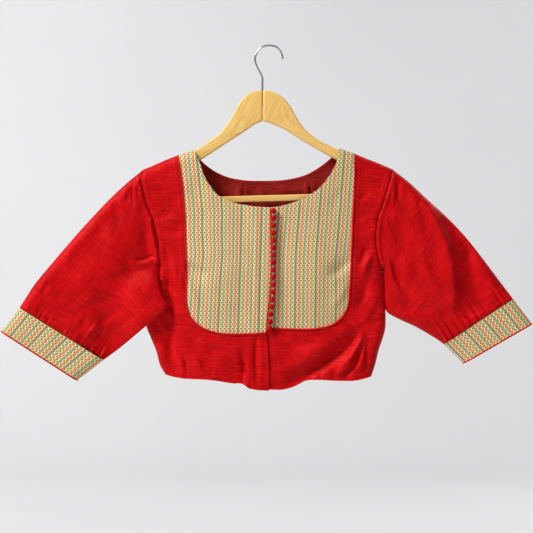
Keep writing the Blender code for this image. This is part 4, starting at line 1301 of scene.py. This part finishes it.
def finish_named(name):
    """One of the part's materials, made when it is first asked for."""
    if name not in MATERIALS:
        cloth = bpy.context.scene.choli_cloth
        makers = {
            "silk": lambda: silk_finish("red_raw_silk", cloth.silk_deep, cloth.silk,
                                        cloth.silk_bright),
            # The piping is the silk's red made lighter: a painted highlight for the light on the
            # raised cord.
            "piping": lambda: silk_finish("red_piping_silk", (0.46, 0.002, 0.004),
                                          (0.70, 0.004, 0.008), (0.80, 0.014, 0.016),
                                          roughness=0.40, slub=0.5),
            # The lining's dark red is the silk's red with painted shade, for the inside of the back
            # seen in shadow through the neck.
            "lining": lambda: silk_finish("maroon_lining", (0.18, 0.005, 0.005),
                                          (0.26, 0.012, 0.010), (0.34, 0.026, 0.020),
                                          roughness=0.60, slub=0.5, seam=0.8, sewn=5.2),
            "brocade": brocade_finish,
            "wood": wood_finish,
            "chrome": chrome_finish,
            "thread": thread_finish,
        }
        MATERIALS[name] = makers[name]()
    return MATERIALS[name]


# Trim

def turned_out(mesh):
    """The mesh with all its faces turned outward."""
    builder = bmesh.new()
    builder.from_mesh(mesh)
    bmesh.ops.recalc_face_normals(builder, faces=builder.faces)
    builder.to_mesh(mesh)
    builder.free()
    return mesh


def round_cord(name, path, radius, closed=False):
    """A cord through the points, in metres, with its cloth running round it on the bias."""
    if closed:
        along = unit_rows(np.roll(path, -1, axis=0) - np.roll(path, 1, axis=0))
    else:
        along = unit_rows(np.gradient(path, axis=0))
    up = np.cross(along, [0.0, 1.0, 0.0])
    up /= np.maximum(np.linalg.norm(up, axis=1), 1e-9)[:, None]
    side = np.cross(along, up)
    angle = np.linspace(0.0, 2 * math.pi, CORD_SIDES, endpoint=False)
    ring = up[:, None] * np.cos(angle)[:, None] + side[:, None] * np.sin(angle)[:, None]
    points = path[:, None] + ring * radius
    wrap = angle / (2 * math.pi) * BIAS_WRAP * MM
    reached = lengths_along(path)[:, None]
    uvs = np.stack([wrap + reached, reached - wrap], 2)
    faces = ring_faces(len(path), CORD_SIDES, closed)
    if not closed:
        faces += end_faces(len(path), CORD_SIDES)
    return turned_out(mesh_from(name, points.reshape(-1, 3), faces, uvs.reshape(-1, 2)))


def yoke_piping_route(side):
    """The part of the yoke seam that the piping follows."""
    seam = YOKE_SEAM_PATH[side]
    route = seam[nearest(seam, SHOULDER_PATH[side])[0] > PIPING_FROM_SHOULDER]
    return route if side == "left" else route[route[:, 0] > PIPING_FROM_CENTRE]


def stitch_row(name, skin, route, shift):
    """A row of short sunk stitches along a route, as one mesh of small rounded bars."""
    total = lengths_along(route)[-1]
    count = int(total / STITCH_PITCH)
    middles = (np.arange(count) + 0.5) * STITCH_PITCH / total
    half = STITCH_LENGTH / 2 / total
    starts, normals = skin.place(at_shares(route, middles - half), 0.0, shift=shift)
    ends, _ = skin.place(at_shares(route, middles + half), 0.0, shift=shift)
    rows, sides = ((0.0, 0.35), (0.25, 1.0), (0.75, 1.0), (1.0, 0.35)), 6
    bar = ring_faces(len(rows), sides) + end_faces(len(rows), sides)
    points, faces, uvs = [], [], []
    for number, (start, end, normal) in enumerate(zip(starts, ends, normals)):
        along = (end - start) / np.linalg.norm(end - start)
        beside = np.cross(along, normal)
        faces += [[len(points) + k for k in face] for face in bar]
        for t, size in rows:
            middle = start * (1 - t) + end * t
            for angle in np.arange(sides) * (2 * math.pi / sides):
                spoke = beside * math.cos(angle) + normal * math.sin(angle)
                points.append(middle + spoke * STITCH_RADIUS * size * MM)
                uvs.append((number * 0.01, angle * 0.001))
    return turned_out(mesh_from(name, np.array(points), faces, np.array(uvs)))


# Operators' shared steps

def deselect_all():
    for piece in bpy.context.view_layer.objects:
        piece.select_set(False)


def settle(piece):
    """Puts a piece's place and turn into its mesh."""
    deselect_all()
    piece.select_set(True)
    bpy.context.view_layer.objects.active = piece
    bpy.ops.object.transform_apply(location=True, rotation=True, scale=True)


def rename(piece, name):
    """Gives an object and its mesh one name."""
    piece.name = name
    piece.data.name = name
    return piece


def round_edges(piece, width, segments):
    """Rounds the edges of a wooden piece, and shades it."""
    rounding = piece.modifiers.new("rounded_edges", "BEVEL")
    rounding.width = width
    rounding.segments = segments
    rounding.limit_method = "ANGLE"
    rounding.angle_limit = math.radians(60)
    rounding.use_clamp_overlap = True
    bpy.context.view_layer.objects.active = piece
    bpy.ops.object.modifier_apply(modifier=rounding.name)
    smooth(piece.data, 35.0)


def select_all_in_edit_mode():
    bpy.ops.object.mode_set(mode="EDIT")
    bpy.ops.mesh.select_all(action="SELECT")


def leave_edit_mode():
    """Turns all faces outward first."""
    bpy.ops.mesh.select_all(action="SELECT")
    bpy.ops.mesh.normals_make_consistent(inside=False)
    bpy.ops.object.mode_set(mode="OBJECT")


def color_property(name, description, value):
    return bpy.props.FloatVectorProperty(name=name, description=description, default=value,
                                         subtype="COLOR", size=3, min=0.0, max=1.0)


def amount_property(name, description, value, low, high, unit="NONE"):
    return bpy.props.FloatProperty(name=name, description=description, default=value, min=low,
                                   max=high, unit=unit)


class ClothSettings(bpy.types.PropertyGroup):
    """Sizes and colours of the blouse."""

    panel_step: amount_property("Mesh step", "Distance between the points of a panel",
                                PANEL_STEP * MM, 0.002, 0.02, "LENGTH")
    silk_deep: color_property("Silk shade", "Darkest threads of the silk", (0.31, 0.0005, 0.002))
    silk: color_property("Silk", "Main colour of the silk", (0.55, 0.0011, 0.004))
    silk_bright: color_property("Silk slubs", "Brightest threads", (0.84, 0.008, 0.012))
    cream: color_property("Brocade ground", "Pale yellow ground", (0.90, 0.62, 0.09))
    white: color_property("Brocade diamonds", "White diamonds", (1.0, 0.98, 0.76))
    gold: color_property("Brocade ovals", "Gold ovals", (0.27, 0.17, 0.005))
    thread_shade: color_property("Brocade shade", "Shade between threads", (0.40, 0.28, 0.08))
    pink: color_property("Pink stripe", "Colour of every fifth stripe", (0.94, 0.10, 0.09))
    olive: color_property("Olive stripe", "Colour of every fifth stripe", (0.25, 0.27, 0.012))
    purple: color_property("Purple stripe", "Colour of every fifth stripe", (0.035, 0.022, 0.095))
    orange: color_property("Orange stripe", "Colour of every fifth stripe", (0.86, 0.12, 0.006))
    teal: color_property("Teal stripe", "Colour of every fifth stripe", (0.06, 0.28, 0.17))


class HangerSettings(bpy.types.PropertyGroup):
    """Sizes and colours of the hanger."""

    light_wood: color_property("Light wood", "Pale bands of the grain", (0.95, 0.63, 0.20))
    dark_wood: color_property("Dark wood", "Dark bands of the grain", (0.80, 0.45, 0.10))
    pore: color_property("Pores", "Fine dark marks in the wood", (0.42, 0.20, 0.06))
    wood_rounding: amount_property("Rounding", "Radius of the arms' edges", WOOD_ROUND * MM,
                                   0.001, 0.005, "LENGTH")


class StudioSettings(bpy.types.PropertyGroup):
    """The camera and the light."""

    distance: amount_property("Camera distance", "From the camera to the blouse's middle plane",
                              2.4, 1.0, 6.0, "LENGTH")
    key_power: amount_property("Key light", "Power of the large light above", 372.0, 0.0, 500.0)
    fill_power: amount_property("Fill light", "Power of the light in front", 4.0, 0.0, 500.0)
    surround: amount_property("Surround", "Strength of the even light all round", 0.10, 0.0, 3.0)
    backdrop_power: amount_property("Backdrop light", "Power of each of two lights on the paper",
                                    10.5, 0.0, 500.0)
    back_power: amount_property("Back light", "Power of the light behind", 22.0, 0.0, 500.0)


def sew_panel(name, outline, skin, folds, uv_of, seams, finish, slot, node, rests_on, **wall):
    step = bpy.context.scene.choli_cloth.panel_step / MM
    mesh = cloth_panel(name, outline, skin, folds, uv_of, seams, step, **wall)
    piece = add_piece(mesh, finish, slot, node)


class CHOLI_OT_fronts(bpy.types.Operator):
    """Makes the two red fronts, beside and below the yoke"""

    bl_idname = "choli.fronts"
    bl_label = "Fronts"

    def execute(self, context):
        for side in SIDES:
            sew_panel(f"{side}_front_silk", front_outline(side), Skin(front_height(side), -1),
                      [TOP_FOLD[side], SIDE_FOLD[side]], straight_uv,
                      [YOKE_SEAM_PATH[side], ARMHOLE_SEAM[side]],
                      "silk", "red_silk", f"front_{side}", [f"hanger_arm_{side}"])
        return {"FINISHED"}


class CHOLI_OT_yokes(bpy.types.Operator):
    """Makes the two halves of the striped yoke"""

    bl_idname = "choli.yokes"
    bl_label = "Yoke"

    def execute(self, context):
        for side in SIDES:
            sew_panel(f"{side}_yoke_brocade", yoke_outline(side), Skin(yoke_height(side), -1),
                      [TOP_FOLD[side]], stripe_uv, [YOKE_SEAM_PATH[side]],
                      "brocade", "striped_brocade", f"yoke_{side}", [f"hanger_arm_{side}"])
        return {"FINISHED"}


class CHOLI_OT_back(bpy.types.Operator):
    """Makes the back, and the lining that shows inside the neck"""

    bl_idname = "choli.back"
    bl_label = "Back and lining"

    def execute(self, context):
        sew_panel("back_silk", back_outline(), Skin(back_height, 1),
                  [*TOP_FOLD.values(), *SIDE_FOLD.values()], straight_uv,
                  list(ARMHOLE_SEAM.values()),
                  "silk", "red_silk", "back", ["hanger_arm_left", "hanger_arm_right"])
        # The lining's dark colour is painted shade on the inside of the back.
        sew_panel("neck_lining", lining_outline(), Skin(lining_height, 1), [], straight_uv,
                  [smooth_path(BACK_NECK, EDGE_STEP)],
                  "lining", "maroon_lining", "back_lining", ["back_silk"],
                  depth=CLOTH + LINING_GAP, thickness=LINING)
        return {"FINISHED"}


class CHOLI_OT_sleeves(bpy.types.Operator):
    """Makes the two sleeves, from the armhole to the cuff seam"""

    bl_idname = "choli.sleeves"
    bl_label = "Sleeves"

    def execute(self, context):
        for side, seed in (("left", 51), ("right", 61)):
            skins = sleeve_skins(side, sleeve_height(side, SLEEVE_CREASES[side], seed),
                                 sleeve_height(side, SLEEVE_BACK_CREASES[side], seed + 5))
            stations = np.concatenate([np.linspace(0.0, 1.0, 9), np.linspace(1.15, 15.0, 84),
                                       np.linspace(15.1, CUFF_START - STATION_GAP, 14)])
            seams = [ARMHOLE_SEAM[side], cuff_seam(side)]
            mesh = cloth_tube(f"{side}_sleeve_silk", side, stations, 92, skins, seams,
                              SEAM_GAP / 4)
            piece = add_piece(mesh, "silk", "red_silk", f"sleeve_{side}")
        return {"FINISHED"}


class CHOLI_OT_cuffs(bpy.types.Operator):
    """Makes the striped cuffs and the piping along their edges"""

    bl_idname = "choli.cuffs"
    bl_label = "Cuffs"

    def execute(self, context):
        for side, seed in (("left", 71), ("right", 81)):
            height = cuff_height(side, seed)
            skins = sleeve_skins(side, height, height)
            stations = np.linspace(CUFF_START + STATION_GAP, LAST_STATION - 4 * STATION_GAP, 15)
            mesh = cloth_tube(f"{side}_cuff_brocade", side, stations, 58, skins, [cuff_seam(side)],
                              first_stripe=CUFF_STRIPE[side])
            piece = add_piece(mesh, "brocade", "striped_brocade", f"cuff_{side}")
            flat = ring_points(side, np.array([LAST_STATION - STATION_GAP]), ring_shares(58))[0]
            ring = np.vstack([skins[0].place(flat, PIPING_SINK)[0],
                              skins[1].place(flat[-2:0:-1], PIPING_SINK)[0]])
            keep = [0]
            for number in range(1, len(ring)):
                if np.linalg.norm(ring[number] - ring[keep[-1]]) > CORD_STEP * MM:
                    keep.append(number)
            cord = round_cord(f"{side}_cuff_piping", ring[keep], CUFF_PIPING_RADIUS * MM, True)
            add_piece(cord, "piping", "red_piping", f"cuff_piping_{side}")
        return {"FINISHED"}


class CHOLI_OT_piping(bpy.types.Operator):
    """Makes the piping round the yoke, and the stitches beside it"""

    bl_idname = "choli.piping"
    bl_label = "Yoke piping and stitches"

    def execute(self, context):
        for side in SIDES:
            skin = Skin(yoke_height(side), -1)
            route = yoke_piping_route(side)
            path, _ = skin.place(route, -0.5, shift=-FOLD_GAP / 2)
            cord = round_cord(f"{side}_yoke_piping", path, PIPING_RADIUS * MM)
            add_piece(cord, "piping", "red_piping", f"yoke_piping_{side}")
            beside = offset_path(route[1:], -OUTWARD[side] * (PIPING_RADIUS + STITCH_AWAY))
            front = Skin(front_height(side), -1)
            stitches = stitch_row(f"{side}_yoke_stitches", front, beside, -FOLD_GAP / 2)
            add_piece(stitches, "thread", "red_piping")
        return {"FINISHED"}


def button_places():
    """The buttons' middles on the yoke, from the top one down."""
    places = []
    for number in range(BUTTON_COUNT):
        drop = BUTTON_TOP[1] + (BUTTON_BOTTOM[1] - BUTTON_TOP[1]) * number / (BUTTON_COUNT - 1)
        lean = smoothstep(BUTTON_LEAN_FROM, BUTTON_BOTTOM[1] + 20.0, drop)
        places.append((BUTTON_TOP[0] + (BUTTON_BOTTOM[0] - BUTTON_TOP[0]) * lean, drop))
    return np.array(places)


class CHOLI_OT_buttons(bpy.types.Operator):
    """Makes the fabric ball buttons, each with its gathered cloth"""

    bl_idname = "choli.buttons"
    bl_label = "Buttons"

    def execute(self, context):
        skin = Skin(yoke_height("right"), -1)
        raised = BUTTON_RADIUS + FOLD_GAP + 0.1
        centres, _ = skin.place(button_places(), -raised, shift=-FOLD_GAP / 2)
        draw = np.random.default_rng(7)
        deselect_all()
        bpy.ops.mesh.primitive_uv_sphere_add(segments=28, ring_count=16,
                                             radius=BUTTON_RADIUS * MM)
        first = rename(context.active_object, "ball_button_01")
        balls = [first]
        for number in range(2, BUTTON_COUNT + 1):
            ball = first.copy()
            ball.data = first.data.copy()
            context.scene.collection.objects.link(ball)
            balls.append(rename(ball, f"ball_button_{number:02d}"))
        for number, (ball, centre) in enumerate(zip(balls, centres), 1):
            self.gather(ball.data, draw)
            ball.location = centre
            ball.rotation_euler = (math.pi / 2 + draw.uniform(-0.3, 0.3), draw.uniform(-0.3, 0.3),
                                   draw.uniform(0.0, 2 * math.pi))
            settle(ball)
            dress(ball, "silk", "red_silk", f"button_{number:02d}")
        return {"FINISHED"}

    def gather(self, mesh, draw):
        """Draws the cloth in behind the ball, in uneven pleats."""
        places = vertex_places(mesh)
        unit = unit_rows(places)
        around = np.arctan2(unit[:, 1], unit[:, 0])
        behind = smoothstep(0.05, -0.95, unit[:, 2])
        pleats = np.sin(around * 9 + draw.uniform(0, 6))
        pleats += 0.6 * np.sin(around * 5 + draw.uniform(0, 6))
        lumps = 0.0
        for _ in range(4):
            direction = draw.normal(size=3)
            lumps = lumps + np.sin(unit @ direction * 2.2 + draw.uniform(0, 6))
        size = 1.0 - 0.05 * behind * (1.2 + pleats) + 0.014 * lumps + 0.015
        mesh.vertices.foreach_set("co", (places * size[:, None]).ravel())
        mesh.shade_smooth()
        lay_uvs(mesh, np.stack([unit[:, 0], unit[:, 1] + unit[:, 2] * 0.3], 1) * BUTTON_RADIUS * MM)


def arm_outline(side):
    """An arm's outline: upper edge, seat inside the cloth, tip and underside."""
    fold = TOP_FOLD[side]
    seat = offset_path(fold.path, ARM_SEAT * fold.turn)
    seat = seat[np.abs(seat[:, 0]) < abs(ARM_TIP[side])]
    top = smooth_path(ARM_TOP[side], 4.0)
    under = np.array(ARM_UNDER[side])
    corner = 5
    tip = smooth_path(np.vstack([seat[-1:], under[:corner]]), 3.0)[1:]
    rest = smooth_path(under[corner:], 4.0)
    outline = np.vstack([top, seat, tip, rest])
    outline[0, 0] += OUTWARD[side] * FOLD_GAP / 2
    outline[-1, 0] += OUTWARD[side] * FOLD_GAP / 2
    return outline


class CHOLI_OT_hanger(bpy.types.Operator):
    """Makes the hanger's two arms, its bar and its hook"""

    bl_idname = "choli.hanger"
    bl_label = "Hanger"

    def execute(self, context):
        for side in SIDES:
            self.arm(context, side)
        self.bar(context)
        self.hook(context)
        return {"FINISHED"}

    def arm(self, context, side):
        outline = arm_outline(side)
        deselect_all()
        bpy.ops.mesh.primitive_circle_add(vertices=len(outline), radius=0.1, fill_type="NGON")
        board = rename(context.active_object, f"{side}_hanger_arm")
        for vertex, (across, drop) in zip(board.data.vertices, outline):
            vertex.co = (across * MM, -WOOD_HALF * MM, -drop * MM)
        select_all_in_edit_mode()
        bpy.ops.mesh.extrude_region_move(
            TRANSFORM_OT_translate={"value": (0.0, 2 * WOOD_HALF * MM, 0.0)})
        leave_edit_mode()
        round_edges(board, context.scene.choli_hanger.wood_rounding, 5)
        self.grain(board.data, np.vstack([outline[:1], [(outline[0, 0] * 4.0, 130.0)],
                                          [(ARM_TIP[side], 226.0)]]))
        dress(board, "wood", "honey_wood", f"hanger_arm_{side}")

    def bar(self, context):
        left = np.array((BAR_LEFT[0] + FOLD_GAP, -BAR_LEFT[1])) * MM
        right = np.array((BAR_RIGHT[0] - FOLD_GAP, -BAR_RIGHT[1])) * MM
        length = float(np.hypot(*(right - left)))
        middle = (left + right) / 2
        deselect_all()
        bpy.ops.mesh.primitive_cube_add(size=1.0)
        bar = rename(context.active_object, "hanger_trouser_bar")
        bar.scale = (length, BAR_THICKNESS * MM, BAR_HEIGHT * MM)
        bpy.ops.object.transform_apply(scale=True)
        round_edges(bar, BAR_ROUND * MM, 4)
        bar.location = (middle[0], 0.0, middle[1])
        bar.rotation_euler = (0.0, -math.atan2(right[1] - left[1], right[0] - left[0]), 0.0)
        settle(bar)
        self.grain(bar.data, np.array([left, right]) * (1.0, -1.0) / MM)
        dress(bar, "wood", "honey_wood", "hanger_bar")

    def hook(self, context):
        """The bent wire: a round face drawn out along the hook's path."""
        route = smooth_path(HOOK, 2.0)
        path = np.stack([route[:, 0], np.zeros(len(route)), -route[:, 1]], 1) * MM
        steps = np.diff(path, axis=0)
        slopes = np.unwrap(np.arctan2(steps[:, 2], steps[:, 0]))
        facing = np.append((slopes[1:] + slopes[:-1]) / 2, slopes[-1])
        turns = np.diff(facing, prepend=math.pi / 2)
        deselect_all()
        bpy.ops.mesh.primitive_circle_add(vertices=20, radius=WIRE_RADIUS * MM, fill_type="NGON",
                                          location=path[0])
        wire = rename(context.active_object, "wire_hook")
        settle(wire)
        select_all_in_edit_mode()
        for step, turn, centre in zip(steps, turns, path[1:]):
            bpy.ops.mesh.extrude_region_move(TRANSFORM_OT_translate={"value": tuple(step)})
            bpy.ops.transform.rotate(value=turn, orient_axis="Y", orient_type="GLOBAL",
                                     center_override=tuple(centre))
        leave_edit_mode()
        smooth(wire.data)
        dress(wire, "chrome", "chromed_steel", "hanger_hook")

    def grain(self, mesh, line):
        """Cloth-like UV places for wood: metres along the piece's line, and across it."""
        places = vertex_places(mesh)
        flat = np.stack([places[:, 0], -places[:, 2]], 1) / MM
        distance, along, side = nearest(flat, line)
        lay_uvs(mesh, np.stack([along, distance * side + places[:, 1] / MM], 1) * MM)


class CHOLI_OT_studio(bpy.types.Operator):
    """Makes the floor, the light and the camera"""

    bl_idname = "choli.studio"
    bl_label = "Studio"

    def execute(self, context):
        settings = context.scene.choli_studio
        self.backdrop(context)
        self.camera(context, settings.distance)
        aim = Vector((0.0, 0.0, -0.33))
        self.area_light("key_light", (-3.4, -2.3, 3.4), aim, 1.7, settings.key_power)
        self.area_light("fill_light", (1.1, -2.0, -0.1), aim, 1.6, settings.fill_power)
        for number, across in enumerate((-2.0, 2.0)):
            self.area_light(f"backdrop_light_{number + 1}", (across, 1.9, 0.3),
                            Vector((0.0, 3.6, -0.3)), 1.2, settings.backdrop_power)
        self.area_light("back_light", (1.7, 1.5, 1.2), aim, 1.8, settings.back_power)
        world = bpy.data.worlds.new("studio")
        context.scene.world = world
        world.use_nodes = True
        surround = world.node_tree.nodes["Background"]
        surround.inputs["Color"].default_value = (1.0, 0.99, 0.97, 1.0)
        surround.inputs["Strength"].default_value = settings.surround
        context.scene.view_settings.view_transform = "Standard"
        return {"FINISHED"}

    def backdrop(self, context):
        """A paper sheet that is the floor and curves up behind."""
        deselect_all()
        floor_level = -1.0
        near, far, half_width, wall_height = -6.0, 2.8, 7.0, 4.0
        bpy.ops.mesh.primitive_plane_add(size=1.0)
        sheet = rename(context.active_object, "studio_floor")
        corners = [(-half_width, near), (half_width, near), (-half_width, far), (half_width, far)]
        for vertex, (across, away) in zip(sheet.data.vertices, corners):
            vertex.co = (across, away, floor_level)
        bpy.ops.object.mode_set(mode="EDIT")
        bpy.ops.mesh.select_all(action="DESELECT")
        bpy.ops.object.mode_set(mode="OBJECT")
        for edge in sheet.data.edges:
            ends = [sheet.data.vertices[k].co.y for k in edge.vertices]
            edge.select = min(ends) > far - 0.01
        bpy.ops.object.mode_set(mode="EDIT")
        bpy.ops.mesh.select_mode(type="EDGE")
        bend = 0.8
        turns = 14
        for number in range(turns):
            angle = math.radians(90.0 * (number + 0.5) / turns)
            length = bend * math.radians(90.0) / turns
            bpy.ops.mesh.extrude_region_move(TRANSFORM_OT_translate={
                "value": (0.0, length * math.cos(angle), length * math.sin(angle))})
        bpy.ops.mesh.extrude_region_move(
            TRANSFORM_OT_translate={"value": (0.0, 0.0, wall_height)})
        bpy.ops.object.mode_set(mode="OBJECT")
        sheet.data.shade_smooth()
        sheet.data.materials.append(backdrop_finish())

    def camera(self, context, distance):
        """Level with the photograph's middle and straight in front."""
        lens_data = bpy.data.cameras.new("camera")
        width_seen = 0.7995
        middle_across, middle_level = -0.003, -0.32985
        lens_data.sensor_width = 36.0
        lens_data.lens = lens_data.sensor_width * distance / width_seen
        camera = bpy.data.objects.new("camera", lens_data)
        camera.location = (middle_across, -distance, middle_level)
        camera.rotation_euler = (math.pi / 2, 0.0, 0.0)
        context.scene.collection.objects.link(camera)
        context.scene.camera = camera

    def area_light(self, name, place, aim, size, power):
        light = bpy.data.lights.new(name, "AREA")
        light.size = size
        light.energy = power
        lamp = bpy.data.objects.new(name, light)
        lamp.location = place
        lamp.rotation_euler = (aim - Vector(place)).to_track_quat("-Z", "Y").to_euler()
        bpy.context.scene.collection.objects.link(lamp)


class CHOLI_PT_panel(bpy.types.Panel):
    """Lists the blouse's operators and settings"""

    bl_idname = "CHOLI_PT_panel"
    bl_label = "Choli blouse"
    bl_space_type = "VIEW_3D"
    bl_region_type = "UI"
    bl_category = "Choli"

    def draw(self, context):
        for operator in OPERATORS:
            self.layout.operator(operator.bl_idname)
        for group in (context.scene.choli_cloth, context.scene.choli_hanger,
                      context.scene.choli_studio):
            box = self.layout.box()
            for name in group.bl_rna.properties.keys():
                if name not in ("rna_type", "name"):
                    box.prop(group, name)


OPERATORS = (CHOLI_OT_fronts, CHOLI_OT_yokes, CHOLI_OT_back, CHOLI_OT_sleeves, CHOLI_OT_cuffs,
             CHOLI_OT_piping, CHOLI_OT_buttons, CHOLI_OT_hanger, CHOLI_OT_studio)
GROUPS = {"choli_cloth": ClothSettings, "choli_hanger": HangerSettings,
          "choli_studio": StudioSettings}


def register():
    for group in GROUPS.values():
        bpy.utils.register_class(group)
    for operator in (*OPERATORS, CHOLI_PT_panel):
        bpy.utils.register_class(operator)
    for name, group in GROUPS.items():
        setattr(bpy.types.Scene, name, bpy.props.PointerProperty(type=group))


def unregister():
    for name in GROUPS:
        delattr(bpy.types.Scene, name)
    for operator in (*OPERATORS, CHOLI_PT_panel):
        bpy.utils.unregister_class(operator)
    for group in GROUPS.values():
        bpy.utils.unregister_class(group)


def main():
    register()
    bpy.ops.choli.fronts()
    bpy.ops.choli.yokes()
    bpy.ops.choli.back()
    bpy.ops.choli.sleeves()
    bpy.ops.choli.cuffs()
    bpy.ops.choli.piping()
    bpy.ops.choli.buttons()
    bpy.ops.choli.hanger()
    bpy.ops.choli.studio()


if __name__ == "__main__":
    main()
